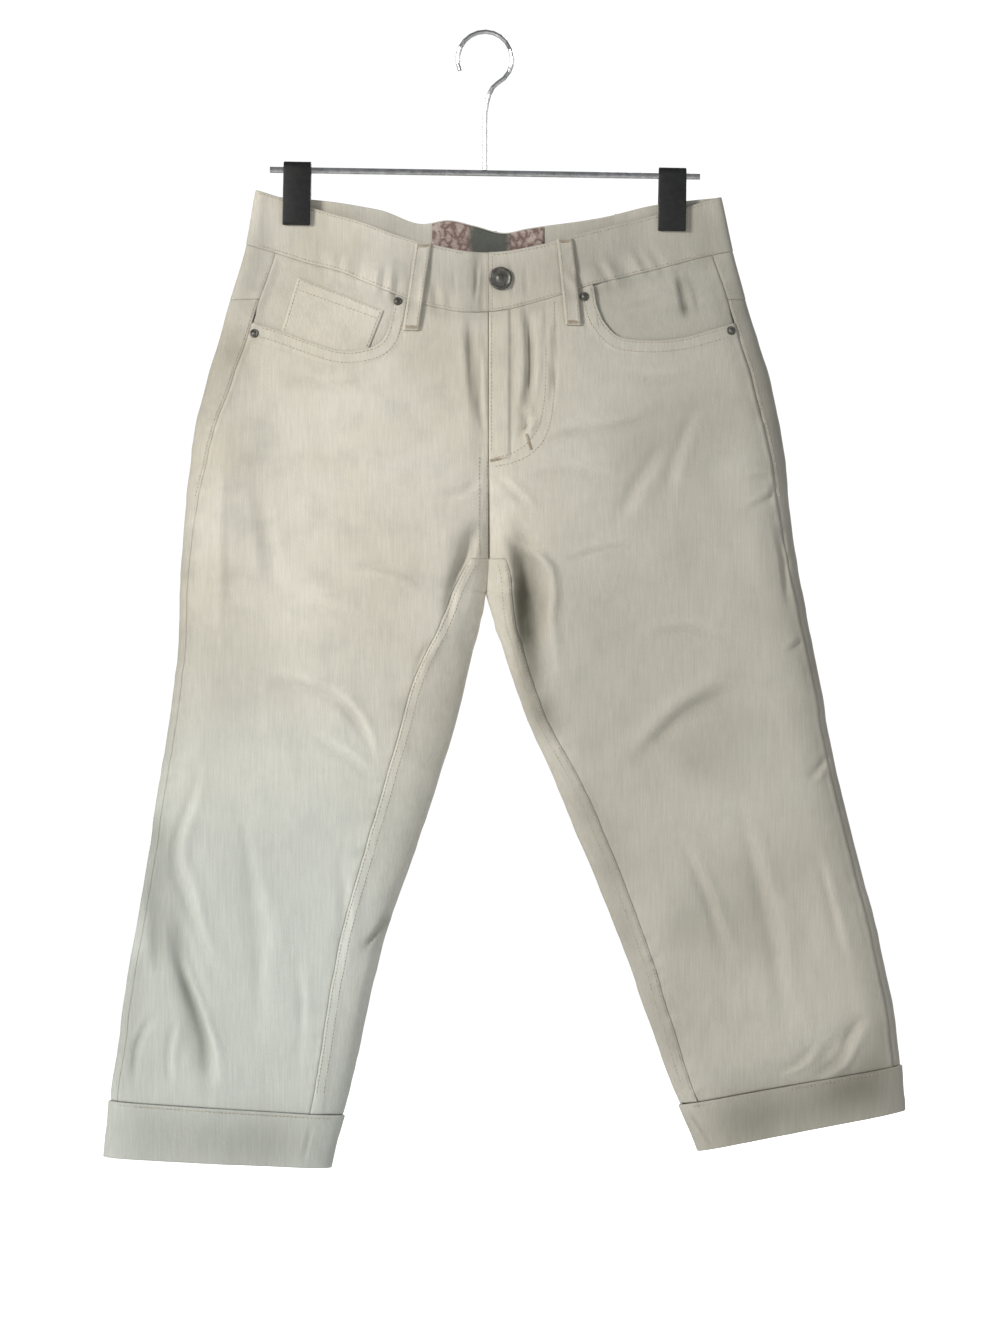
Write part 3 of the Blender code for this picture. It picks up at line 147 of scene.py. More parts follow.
# ---------------------------------------------------------------- creases pressed into the cloth
# kind, width, depth, points (x, drop).  A trough sinks, a roll sinks on one side and swells on the other.
FRONT_CREASES = (
    # beside the fly and at its foot
    ("trough", 5.0, 2.4, ((-12, 92), (-11, 125), (-8, 160), (-3, 192))),
    ("trough", 2.6, 1.6, ((-5, 118), (-4, 150), (-3, 184), (2, 200))),
    ("trough", 3.6, 3.8, ((30, 84), (35, 116), (35, 155), (29, 188))),
    ("trough", 2.6, -1.2, ((43, 92), (44, 125), (43, 168))),
    ("trough", 2.0, 1.3, ((47, 86), (49, 104), (48, 132))),
    ("trough", 2.2, 1.7, ((53, 92), (55, 130), (53, 166), (48, 186))),
    ("trough", 1.8, 0.8, ((20, 52), (21, 72), (22, 92))),
    ("trough", 1.8, 0.7, ((33, 56), (32, 76), (34, 94))),
    ("trough", 2.0, 0.9, ((-6, 54), (-7, 76), (-9, 96))),
    ("trough", 2.2, 0.6, ((-24, 62), (-25, 78), (-22, 96))),
    ("roll", 3.0, 2.0, ((24, 172), (33, 184), (30, 204))),
    ("roll", 2.8, 1.8, ((44, 176), (33, 189), (27, 203))),
    ("roll", 3.4, 2.1, ((8, 232), (22, 242), (40, 260))),
    ("roll", 3.4, 1.6, ((-1, 230), (-14, 240), (-32, 246))),
    ("roll", 5.0, 1.4, ((34, 212), (66, 196), (110, 190), (150, 176))),
    ("roll", 6.0, 1.0, ((26, 232), (70, 226), (120, 236))),
    # down to the fork and the inner thighs
    ("roll", 5.0, 2.0, ((-4, 258), (-13, 288), (-22, 306), (-28, 326), (-31, 362))),
    ("trough", 7.5, 3.6, ((15, 264), (27, 298), (30, 330), (33, 362), (47, 420))),
    ("trough", 4.5, -2.4, ((13, 256), (27, 282), (50, 300), (55, 322), (52, 348), (60, 392))),
    ("roll", 4.0, 1.2, ((60, 300), (92, 288), (132, 284))),
    ("roll", 5.0, 1.1, ((-40, 318), (-74, 304), (-112, 300))),
    ("roll", 4.0, 1.0, ((-34, 352), (-50, 372), (-58, 398))),
    # outer side of the wearer's right leg
    ("trough", 4.0, -0.9, ((-206, 190), (-210, 250), (-211, 330), (-209, 388))),
    ("roll", 5.5, 2.0, ((-226, 440), (-231, 477), (-245, 515), (-247, 540), (-236, 572), (-222, 614),
                        (-208, 650))),
    ("roll", 5.0, 3.2, ((-249, 590), (-240, 628), (-229, 660), (-221, 690), (-221, 730))),
    ("trough", 6.0, 1.4, ((-262, 560), (-262, 600), (-256, 636))),
    ("trough", 4.0, 1.5, ((-257, 650), (-270, 668), (-279, 690), (-279, 724))),
    ("roll", 4.0, 1.2, ((-246, 655), (-252, 690), (-250, 722))),
    ("trough", 8.0, 1.3, ((-183, 225), (-174, 280), (-166, 334))),
    # its thigh and knee
    ("roll", 6.0, 2.0, ((-176, 388), (-124, 404), (-103, 424), (-91, 456))),
    ("roll", 4.0, 1.3, ((-126, 407), (-105, 419), (-94, 438), (-87, 462))),
    ("roll", 5.0, 1.3, ((-142, 437), (-110, 453), (-84, 474))),
    ("roll", 7.0, 1.1, ((-152, 330), (-120, 338), (-92, 347))),
    ("trough", 2.6, 2.2, ((-74, 577), (-86, 593), (-100, 610))),
    ("roll", 7.0, 1.2, ((-118, 520), (-112, 580), (-128, 650))),
    ("roll", 8.0, 1.2, ((-196, 470), (-188, 540), (-180, 620), (-186, 700))),
    ("roll", 5.0, 0.9, ((-150, 600), (-146, 660), (-152, 712))),
    # outer side of the wearer's left leg
    ("roll", 2.6, 1.3, ((206, 231), (220, 229), (232, 231))),
    ("roll", 3.0, 1.5, ((203, 258), (216, 251), (227, 245), (232, 232))),
    ("trough", 4.0, 1.4, ((233, 262), (238, 300), (242, 342))),
    ("roll", 3.0, 1.5, ((238, 370), (247, 364), (256, 357))),
    ("roll", 3.6, 1.7, ((277, 447), (268, 459), (256, 473))),
    ("roll", 5.0, 2.6, ((306, 655), (292, 674), (282, 694), (258, 709))),
    ("roll", 4.0, 1.4, ((268, 676), (252, 694), (230, 706))),
    # its thigh and knee
    ("roll", 9.0, 2.2, ((108, 466), (136, 440), (166, 414), (222, 390))),
    ("roll", 6.0, 1.2, ((120, 360), (160, 352), (205, 362))),
    ("roll", 8.0, 1.2, ((150, 190), (120, 236), (98, 280))),
    ("roll", 7.0, 1.0, ((176, 160), (152, 210), (140, 262))),
    ("roll", 8.0, 1.3, ((196, 470), (214, 540), (232, 620), (240, 690))),
    ("roll", 6.0, 1.0, ((150, 505), (178, 570), (196, 640))),
    ("roll", 5.0, 1.0, ((262, 520), (276, 575), (290, 630))),
    # the facing's own fold and the cuffs' seams
    ("trough", 2.6, 2.0, ((154, 62), (157, 82), (162, 106))),
    ("trough", 3.0, -1.0, ((162, 72), (165, 88), (168, 104))),
    ("roll", 3.0, 0.8, ((112, 94), (132, 89), (152, 85))),
    ("trough", 1.3, 1.3, ((-137, 738), (-142, 760), (-146, 780))),
    ("trough", 1.3, 1.3, ((158, 728), (172, 748), (186, 770))),
    # under the pockets
    ("roll", 6.0, 0.9, ((-160, 150), (-120, 158), (-84, 152))),
    ("roll", 6.0, 0.9, ((100, 148), (140, 153), (178, 148))))

BACK_CREASES = (
    ("roll", 6.0, 1.8, ((-14, 268), (-40, 300), (-88, 322), (-140, 330))),
    ("roll", 5.0, 1.4, ((-22, 300), (-52, 330), (-98, 352), (-150, 372))),
    ("roll", 7.0, 1.6, ((-60, 372), (-110, 396), (-170, 402), (-214, 392))),
    ("roll", 5.0, 1.3, ((-88, 452), (-130, 476), (-184, 486))),
    ("roll", 6.0, 1.6, ((-104, 500), (-160, 520), (-222, 514))),
    ("roll", 4.0, 1.1, ((-120, 540), (-164, 548), (-200, 544))),
    ("roll", 8.0, 1.3, ((-170, 560), (-182, 620), (-190, 700))),
    ("roll", 5.0, 1.2, ((-226, 600), (-236, 650), (-234, 706))),
    ("roll", 6.0, 1.2, ((-30, 178), (-74, 210), (-96, 250))),
    ("roll", 6.0, 1.0, ((-190, 170), (-176, 220), (-188, 270))),
    ("roll", 6.0, 1.9, ((20, 270), (48, 304), (96, 328), (150, 334))),
    ("roll", 5.0, 1.3, ((30, 306), (60, 338), (112, 362), (164, 372))),
    ("roll", 7.0, 1.5, ((80, 376), (130, 404), (186, 410), (232, 396))),
    ("roll", 5.0, 1.4, ((112, 458), (160, 480), (212, 486))),
    ("roll", 6.0, 1.5, ((130, 506), (190, 528), (252, 520))),
    ("roll", 8.0, 1.2, ((206, 560), (226, 630), (236, 700))),
    ("roll", 5.0, 1.1, ((262, 596), (286, 640), (290, 690))),
    ("roll", 6.0, 1.1, ((34, 182), (84, 206), (110, 252))),
    ("roll", 5.0, 1.0, ((196, 176), (184, 226), (196, 262))))

# uneven puckers along a seam: face, width, depth, spacing, leg or None, seam
PUCKERS = (
    ("front", 9.0, 0.95, 7.5, "right", "side"), ("front", 6.0, 0.60, 8.0, "left", "side"),
    ("front", 8.0, 0.55, 6.0, "right", "inseam"), ("front", 8.0, 0.75, 5.5, "left", "inseam"),
    ("back", 6.0, 0.40, 7.0, "right", "outer"), ("back", 6.0, 0.40, 7.0, "left", "outer"),
    ("front", 10.0, 1.50, 5.5, None, "front_seam"), ("back", 10.0, 0.45, 7.5, None, "back_seam"),
    ("front", 5.0, 0.50, 6.0, "right", "mouth"), ("front", 5.0, 0.50, 6.5, "left", "mouth"),
    ("back", 6.0, 0.45, 6.5, "right", "yoke"), ("back", 6.0, 0.45, 6.5, "left", "yoke"),
    ("front", 6.0, 0.45, 7.0, None, "centre"), ("back", 7.0, 0.55, 6.5, None, "centre"))

SWELLS = ((100.0, 2.2), (44.0, 0.95), (19.0, 0.26), (8.0, 0.07))   # size, height of the general unevenness
EDGE_WOBBLE = 0.8
CREASE_STRENGTH = 1.45
PUCKER_STRENGTH = 1.6


# Soft shade held in the cloth's colour, so it stays under any light: along the sides, in the largest
# folds and round the cuffs.  Face, reach, strength, points (x, drop).
SHADED = (
    ("front", 13.0, 0.24, ((-190, 60), (-222, 150), (-238, 250), (-245, 340), (-254, 440), (-266, 540))),
    ("front", 17.0, 0.42, ((-264, 490), (-264, 560), (-257, 625))),
    ("front", 26.0, 0.24, ((-310, 752), (-240, 758), (-130, 762))),
    ("front", 26.0, 0.38, ((345, 716), (270, 728), (170, 752))),
    ("front", 20.0, 0.15, ((-185, 22), (-100, 52), (-10, 72), (60, 62), (150, 38), (190, 26))),
    ("front", 16.0, 0.16, ((176, 4), (186, 50), (200, 120))),
    ("front", 14.0, 0.20, ((-270, 600), (-284, 660), (-290, 728))),
    ("front", 7.0, 0.22, ((-249, 590), (-240, 630), (-229, 662), (-221, 730))),
    ("front", 8.0, 0.16, ((-12, 96), (-10, 150), (-4, 200))),
    ("front", 5.0, 0.28, ((31, 88), (35, 125), (34, 158), (29, 190))),
    ("front", 2.4, 0.22, ((21, 96), (21, 150), (20, 206))),
    ("front", 3.0, 0.20, ((54, 94), (55, 130), (53, 170))),
    ("front", 12.0, 0.62, ((22, 262), (31, 300), (33, 340), (40, 400), (60, 450))),
    ("front", 12.0, 0.26, ((60, 440), (92, 520), (112, 590), (140, 660), (158, 730))),
    ("front", 34.0, 0.12, ((90, 205), (150, 190), (205, 205))),
    ("front", 30.0, 0.15, ((150, 470), (190, 440), (230, 420))),
    ("front", 34.0, 0.13, ((150, 560), (190, 580), (230, 560))),
    ("front", 22.0, 0.24, ((318, 560), (322, 640), (306, 700), (250, 730))),
    ("front", 13.0, 0.22, ((192, 10), (205, 90), (236, 200), (250, 300), (276, 430), (318, 600))),
    ("front", 5.0, 0.45, ((156, 66), (158, 84), (160, 104))),
    ("front", 14.0, 0.30, ((-180, 6), (-186, 55), (-200, 130), (-216, 190))),
    ("front", 20.0, 0.10, ((-60, 600), (-84, 660), (-104, 730))),
    ("front", 6.0, 0.30, ((-74, 577), (-86, 593), (-100, 610))),
    ("front", 8.0, 0.20, ((-5, 262), (-18, 292), (-26, 322))),
    ("front", 26.0, 0.10, ((-196, 160), (-186, 230), (-190, 300))),
    ("front", 5.0, 0.10, ((-150, 60), (-90, 84), (-30, 100), (30, 96), (100, 78), (170, 56))),
    ("back", 16.0, 0.16, ((-230, 200), (-240, 330), (-256, 480), (-280, 640))),
    ("back", 16.0, 0.16, ((232, 200), (250, 330), (280, 480), (316, 640))),
    ("back", 12.0, 0.22, ((3, 260), (-20, 320), (-60, 470))),
    ("back", 12.0, 0.22, ((3, 260), (26, 320), (80, 470))))

# ---------------------------------------------------------------- smooth tables and noise
def mix(a, b, t):
    return a + (b - a) * t


def ease(t):
    t = np.clip(t, 0.0, 1.0)
    return t * t * (3.0 - 2.0 * t)


def quarter(t):
    """Height of a quarter ellipse, from 0 at its end to 1 on its crown."""
    t = np.clip(t, 0.0, 1.0)
    return np.sqrt(t * (2.0 - t))


class Curve:
    """A smooth curve through (key, value) rows that never overshoots them."""

    def __init__(self, keys, values):
        self.keys = np.array(keys, float)
        self.values = np.array(values, float)
        steps = np.diff(self.keys)
        slopes = np.diff(self.values) / steps
        self.tangents = np.zeros(len(self.keys))
        self.tangents[0] = slopes[0]
        self.tangents[-1] = slopes[-1]
        for i in range(1, len(slopes)):
            before = slopes[i - 1]
            after = slopes[i]
            if before * after > 0.0:
                weight_1 = 2.0 * steps[i] + steps[i - 1]
                weight_2 = steps[i] + 2.0 * steps[i - 1]
                self.tangents[i] = (weight_1 + weight_2) / (weight_1 / before + weight_2 / after)

    def __call__(self, key):
        key = np.asarray(key, float)
        keys = self.keys
        values = self.values
        tangents = self.tangents
        i = np.clip(np.searchsorted(keys, key) - 1, 0, len(keys) - 2)
        step = keys[i + 1] - keys[i]
        t = (key - keys[i]) / step
        inside = np.clip(t, 0.0, 1.0)
        rise = inside * inside * (3.0 - 2.0 * inside)
        bend_0 = inside * (1.0 - inside) * (1.0 - inside) * step * tangents[i]
        bend_1 = inside * inside * (inside - 1.0) * step * tangents[i + 1]
        result = values[i] * (1.0 - rise) + values[i + 1] * rise + bend_0 + bend_1
        result = np.where(t < 0.0, values[0] + tangents[0] * (key - keys[0]), result)
        return np.where(t > 1.0, values[-1] + tangents[-1] * (key - keys[-1]), result)


def curves_of(rows, names):
    keys = [row[0] for row in rows]
    return {name: Curve(keys, [row[i + 1] for row in rows]) for i, name in enumerate(names)}


def edge_of(rows):
    return Curve([row[0] for row in rows], [row[1] for row in rows])


LEG = {leg: curves_of(rows, LEVEL_NAMES) for leg, rows in LEVELS.items()}
DEPTH = curves_of(DEPTHS, DEPTH_NAMES)
BAND_DEPTH = curves_of(BAND_DEPTHS, ("front", "back"))
EDGE = {"front_top": edge_of(FRONT_TOP), "front_seam": edge_of(FRONT_SEAM), "back_top": edge_of(BACK_TOP)}

WAVE = np.random.RandomState(11).uniform(-1.0, 1.0, 1024)
FIELD = np.random.RandomState(12).uniform(-1.0, 1.0, (64, 64))


def wiggle(t, seed=0):
    """A smooth uneven wave between -1 and 1, about one swing for each unit of t."""
    cell = np.floor(t).astype(int)
    part = ease(t - cell)
    start = cell + 137 * seed
    return mix(WAVE[start % 1024], WAVE[(start + 1) % 1024], part)


def ripple(x, drop, size, seed):
    """A smooth uneven surface between -1 and 1, its swells about size apart."""
    u = x / size + 5.37 * seed
    v = drop / size + 9.13 * seed
    i = np.floor(u).astype(int)
    j = np.floor(v).astype(int)
    part_u = ease(u - i)
    part_v = ease(v - j)
    upper = mix(FIELD[i % 64, j % 64], FIELD[(i + 1) % 64, j % 64], part_u)
    lower = mix(FIELD[i % 64, (j + 1) % 64], FIELD[(i + 1) % 64, (j + 1) % 64], part_u)
    return mix(upper, lower, part_v)


def rounded(points, steps=5):
    """A broken line made into a flowing one through the same points."""
    points = np.array(points, float)
    before = np.vstack([2.0 * points[0] - points[1], points[:-2], points[-2]])
    flowing = []
    for i in range(len(points) - 1):
        p1 = points[i]
        p2 = points[i + 1]
        p0 = before[i] if i else before[0]
        p3 = points[i + 2] if i + 2 < len(points) else 2.0 * p2 - p1
        if i:
            p0 = points[i - 1]
        for k in range(steps):
            t = k / steps
            flowing.append(0.5 * (2.0 * p1 + (p2 - p0) * t + (2.0 * p0 - 5.0 * p1 + 4.0 * p2 - p3) * t * t
                                  + (3.0 * p1 - p0 - 3.0 * p2 + p3) * t ** 3))
    flowing.append(points[-1])
    return np.array(flowing)


def beside(line, distance):
    """The same line moved sideways; a positive distance is to the left of its run as drawn."""
    ahead = np.gradient(line, axis=0)
    ahead /= np.linalg.norm(ahead, axis=1)[:, None]
    return line + np.stack([ahead[:, 1], -ahead[:, 0]], 1) * distance


def run_of(line, x, drop):
    """Signed distance of points from a line, how far along it they lie, and its length."""
    nearest = np.full(x.shape, 1e9)
    signed = np.zeros(x.shape)
    run = np.zeros(x.shape)
    before = 0.0
    for start, end in zip(line[:-1], line[1:]):
        step = end - start
        length = math.hypot(step[0], step[1])
        if length < 1e-9:
            continue
        t = np.clip(((x - start[0]) * step[0] + (drop - start[1]) * step[1]) / length ** 2, 0.0, 1.0)
        off_x = x - start[0] - t * step[0]
        off_drop = drop - start[1] - t * step[1]
        distance = np.hypot(off_x, off_drop)
        closer = distance < nearest
        side = np.sign(off_x * step[1] - off_drop * step[0])
        nearest = np.where(closer, distance, nearest)
        signed = np.where(closer, distance * side, signed)
        run = np.where(closer, before + t * length, run)
        before += length
    return signed, run, before


# ---------------------------------------------------------------- the hung form
def outer_edge(leg, drop):
    seed = 1 if leg == "right" else 2
    wobble = EDGE_WOBBLE * wiggle(drop / 31.0, seed) + 0.3 * EDGE_WOBBLE * wiggle(drop / 9.0, seed)
    return LEG[leg]["outer"](drop) + wobble * ease((drop - 60.0) / 60.0)


def inner_edge(leg, drop):
    seed = 3 if leg == "right" else 4
    wobble = EDGE_WOBBLE * wiggle(drop / 27.0, seed) + 0.3 * EDGE_WOBBLE * wiggle(drop / 8.0, seed)
    ruffle = 1.1 * wiggle(drop / 6.5, seed + 4) * (1.0 - ease((drop - 350.0) / 30.0))
    return LEG[leg]["inner"](drop) + (wobble + ruffle) * ease((drop - APEX_DROP) / 10.0)


def join_at(drop):
    """1 where the two halves run level across the centre seam, 0 below the apex."""
    fall = mix(1.0, 0.42, ease((drop - 200.0) / 96.0))
    return np.where(drop >= APEX_DROP, 0.0, fall * quarter((APEX_DROP - drop) / 25.0))


def side_x(leg, drop):
    return outer_edge(leg, drop) - OUTWARD[leg] * LEG[leg]["side_seam"](drop)


def inseam_x(leg, drop):
    width = np.where(np.asarray(drop) < CROSS_DROP, 0.0, LEG[leg]["inseam"](drop))
    return inner_edge(leg, drop) + OUTWARD[leg] * width


def mouth_line(leg):
    """The pocket mouth from the side seam to the waistband's seam."""
    start_x = MOUTH_START_X[leg]
    points = [(float(side_x(leg, MOUTH_SIDE_DROP)), MOUTH_SIDE_DROP)]
    points += list(MOUTHS[leg])
    points += [(start_x, float(EDGE["front_seam"](start_x)))]
    return rounded(points, 6)


def yoke_drop(share):
    return mix(YOKE_SIDE_DROP, YOKE_CENTRE_DROP, 0.3 * ease(share) + 0.7 * share)


def seam_line(leg, seam):
    """A seam as points (x, drop)."""
    if seam == "side":
        drops = np.arange(56.0, 700.0, 16.0)
        return np.stack([side_x(leg, drops), drops], 1)
    if seam == "outer":
        drops = np.arange(56.0, 720.0, 16.0)
        return np.stack([outer_edge(leg, drops) - OUTWARD[leg] * 9.0, drops], 1)
    if seam == "inseam":
        drops = np.arange(303.0, 735.0, 12.0)
        return np.stack([inseam_x(leg, drops), drops], 1)
    if seam == "front_seam":
        x = np.arange(-190.0, 196.0, 10.0)
        return np.stack([x, EDGE["front_seam"](x) - 7.0], 1)
    if seam == "back_seam":
        x = np.arange(-186.0, 190.0, 10.0)
        return np.stack([x, EDGE["back_top"](x) + BAND_WIDTH - 2.0], 1)
    if seam == "mouth":
        return beside(mouth_line(leg), 5.0 * OUTWARD[leg])
    if seam == "yoke":
        drop = yoke_drop(np.linspace(0.04, 1.0, 24))
        share = np.linspace(0.04, 1.0, 24)
        return np.stack([mix(outer_edge(leg, drop), CENTRE_X, share), drop], 1)
    drops = np.arange(212.0, 318.0, 8.0)
    return np.stack([np.full(drops.shape, CENTRE_X), drops], 1)


def crease_list(rows):
    return [(kind, width, depth, rounded(points)) for kind, width, depth, points in rows]


CREASES = {"front": crease_list(FRONT_CREASES), "back": crease_list(BACK_CREASES)}
PUCKER_LINES = [(face, width, depth, spacing, seam_line(leg, seam))
                for face, width, depth, spacing, leg, seam in PUCKERS]


def near(line, reach, x, drop):
    low = line.min(0) - reach
    high = line.max(0) + reach
    return (x > low[0]) & (x < high[0]) & (drop > low[1]) & (drop < high[1])


def creases_at(face, x, drop):
    """How far the cloth sinks at each point."""
    seed = 1 if face == "front" else 6
    sink = np.zeros(x.shape)
    for size, height in SWELLS:
        sink += height * ripple(x, 0.72 * drop, size, seed + size / 10.0)
    for kind, width, depth, line in CREASES[face]:
        found = near(line, 4.0 * width, x, drop)
        if not found.any():
            continue
        signed, run, length = run_of(line, x[found], drop[found])
        taper = 0.42 * length
        fade = ease(run / taper) * ease((length - run) / taper)
        width = width * (0.85 + 0.3 * wiggle(run / 40.0, 9))
        trough = np.exp(-(signed / width) ** 2)
        if kind == "roll":
            swell = 0.75 * np.exp(-((signed - 1.7 * width) / (1.25 * width)) ** 2)
        else:
            swell = 0.22 * np.exp(-((np.abs(signed) - 2.0 * width) / width) ** 2)
        sink[found] += CREASE_STRENGTH * depth * fade * (trough - swell)
    for number, (pucker_face, width, depth, spacing, line) in enumerate(PUCKER_LINES):
        if pucker_face != face:
            continue
        found = near(line, 3.0 * width, x, drop)
        if not found.any():
            continue
        signed, run, length = run_of(line, x[found], drop[found])
        strength = 0.65 + 0.6 * wiggle(run / 47.0, 20 + number)
        wave = wiggle(run / spacing + 0.05 * signed, 40 + number)
        sink[found] += PUCKER_STRENGTH * depth * strength * wave * np.exp(-(signed / width) ** 2)
    return sink


SHADED_LINES = [(face, reach, strength, rounded(points)) for face, reach, strength, points in SHADED]


def shaded_at(face, x, drop):
    """Share of its colour that each point loses to the painted shade drawn on it, more in the bottom of its creases; on
    crease tops it goes below nothing, a painted highlight that lightens the colour.
    """
    shade = 0.035 * np.clip(creases_at(face, x, drop), -3.0, 5.0)
    for shaded_face, reach, strength, line in SHADED_LINES:
        found = near(line, 2.4 * reach, x, drop)
        if shaded_face != face or not found.any():
            continue
        signed, run, length = run_of(line, x[found], drop[found])
        taper = 0.25 * length + 0.5 * reach
        ends = ease((run + 0.5 * reach) / taper) * ease((length - run + 0.5 * reach) / taper)
        broken = 0.85 + 0.3 * ripple(x[found], drop[found], 2.0 * reach, 3)
        shade[found] += strength * ends * broken * np.exp(-(signed / reach) ** 2)
    return np.clip(shade, -0.12, 0.75)


def depth_at(leg, face, x, drop, creased):
    """Distance of the cloth's outer face from the middle plane."""
    outer = outer_edge(leg, drop)
    inner = inner_edge(leg, drop)
    from_outer = np.abs(x - outer)
    from_inner = np.abs(inner - x)
    width = np.abs(inner - outer)
    shoulder = DEPTH["shoulder"](drop)
    join = join_at(drop)
    start = 0.4 * join * shoulder
    low = quarter(start / (shoulder + start))
    rise = (quarter((from_inner + start) / (shoulder + start)) - low) / (1.0 - low)
    crown = 1.0 - CROWN + CROWN * np.sin(PI * np.minimum(from_outer / width, 1.0))
    hung = DEPTH[face](drop) * crown * quarter(from_outer / shoulder) * (join + (1.0 - join) * rise)
    fold = np.zeros(x.shape)
    for fold_leg, fold_face, x0, drop0, x1, drop1, fold_width, fold_depth in FOLDS:
        if fold_leg != leg or fold_face != face:
            continue
        length = math.hypot(x1 - x0, drop1 - drop0)
        along = ((x - x0) * (x1 - x0) + (drop - drop0) * (drop1 - drop0)) / length
        across = ((x - x0) * (drop1 - drop0) - (drop - drop0) * (x1 - x0)) / length
        fade = ease(along / (0.35 * length)) * ease((length - along) / (0.35 * length))
        fold += fold_depth * fade * np.exp(-(across / fold_width) ** 2)
    hung -= fold * quarter(from_outer / shoulder) * np.minimum(from_inner / 8.0, 1.0)
    pinched = BAND_DEPTH[face](np.abs(x)) * quarter(from_outer / BAND_SHOULDER)
    depth = mix(pinched, hung, ease((drop - PINCH_TOP) / PINCH_FADE))
    if not creased:
        return depth
    at_clip = np.exp(-((np.abs(x) - 150.0) / 24.0) ** 2) * (1.0 - ease((drop - 34.0) / 40.0))
    fade = quarter(from_outer / 16.0) * mix(ease(from_inner / 9.0), 1.0, join) * (1.0 - at_clip)
    sunk = depth - creases_at(face, x, drop) * fade
    return np.maximum(sunk, np.minimum(depth, 2.4 * quarter(from_outer / 10.0)))


def surface(leg, turn, drop, creased=True):
    """Points of the ring round a leg.  The front has turns 0 to pi, the back has pi to two pi."""
    turn, drop = np.broadcast_arrays(np.asarray(turn, float), np.asarray(drop, float))
    ring = np.mod(turn, 2.0 * PI)
    outer = outer_edge(leg, drop)
    x = outer + (inner_edge(leg, drop) - outer) * np.sin(0.5 * ring) ** 2
    y = np.zeros(x.shape)
    for face, sign, chosen in (("front", -1.0, ring <= PI), ("back", 1.0, ring > PI)):
        if chosen.any():
            y[chosen] = sign * depth_at(leg, face, x[chosen], drop[chosen], creased)
    return np.stack([x, y, WAIST_Z - drop], -1)


def outward(leg, turn, drop, face):
    """Direction out of the cloth, without its creases."""
    turn, drop = np.broadcast_arrays(np.asarray(turn, float), np.asarray(drop, float))
    joined = join_at(drop) > 0.0
    before = turn - 0.03
    after = turn + 0.03
    level = turn
    if face == "front":
        after = np.where(joined, np.minimum(after, PI), after)
    else:
        before = np.where(joined & (turn < 1.5 * PI), np.maximum(before, PI + 1e-5), before)
        level = np.where(turn < PI + 1e-5, PI + 1e-5, turn)
    along = surface(leg, after, drop, False) - surface(leg, before, drop, False)
    down = surface(leg, level, drop + 1.0, False) - surface(leg, level, drop - 1.0, False)
    normal = np.cross(along, down)
    normal /= np.linalg.norm(normal, axis=-1)[..., None] + 1e-12
    return normal * OUTWARD[leg]


def turn_of_share(share):
    return 2.0 * np.arcsin(np.sqrt(np.clip(share, 0.0, 1.0)))


def share_at(leg, x, drop):
    outer = outer_edge(leg, drop)
    return (x - outer) / (inner_edge(leg, drop) - outer)


def on_face(face, x, drop, lift):
    """Points and directions at places (x, drop) of the front or back."""
    x = np.asarray(x, float)
    drop = np.asarray(drop, float)
    points = np.zeros(x.shape + (3,))
    normals = np.zeros(x.shape + (3,))
    for leg, chosen in (("right", x < CENTRE_X), ("left", x >= CENTRE_X)):
        if not chosen.any():
            continue
        turn = turn_of_share(share_at(leg, x[chosen], drop[chosen]))
        if face == "back":
            turn = np.maximum(2.0 * PI - turn, PI + 1e-5)
        points[chosen] = surface(leg, turn, drop[chosen])
        normals[chosen] = outward(leg, turn, drop[chosen], face)
    return points + normals * np.asarray(lift)[..., None], normals


# ---------------------------------------------------------------- cloth pieces
FACE_LIFT = {}


def front_lift(leg, x, drop):
    """How far the front stands off the form: the pocket mouth's hem, the fly and the felled seams."""
    lift = np.zeros(x.shape)
    signed, run, length = run_of(MOUTH[leg], x, drop)
    away = np.abs(signed)
    lift += 0.45 * np.exp(-(away / 9.0) ** 2)
    lift += 0.45 * (1.0 - ease((away - 10.4) / 1.4)) - 0.3 * np.exp(-((away - 12.4) / 1.2) ** 2)
    from_side = np.abs(x - side_x(leg, drop))
    lift += 0.60 * np.exp(-((from_side - 2.6) / 1.5) ** 2) - 0.55 * np.exp(-(from_side / 1.3) ** 2)
    from_inseam = np.abs(x - inseam_x(leg, drop))
    lift -= 0.45 * np.exp(-(from_inseam / 1.3) ** 2) * ease((drop - FLY_DROP - 6.0) / 10.0)
    if leg == "left":
        above_foot = 1.0 - ease((drop - 212.0) / 6.0)
        lift += 0.95 * (1.0 - ease((x - 18.6) / 1.6)) * above_foot
        lift -= 0.55 * np.exp(-((x - 21.0) / 1.7) ** 2) * above_foot
    else:
        dip = ease((x - LAP_START_X) / -LAP_START_X) * (1.0 - ease((drop - FLY_DROP) / 20.0))
        lift += UNDER_LIFT * dip
    return lift


MOUTH = {leg: mouth_line(leg) for leg in ("right", "left")}


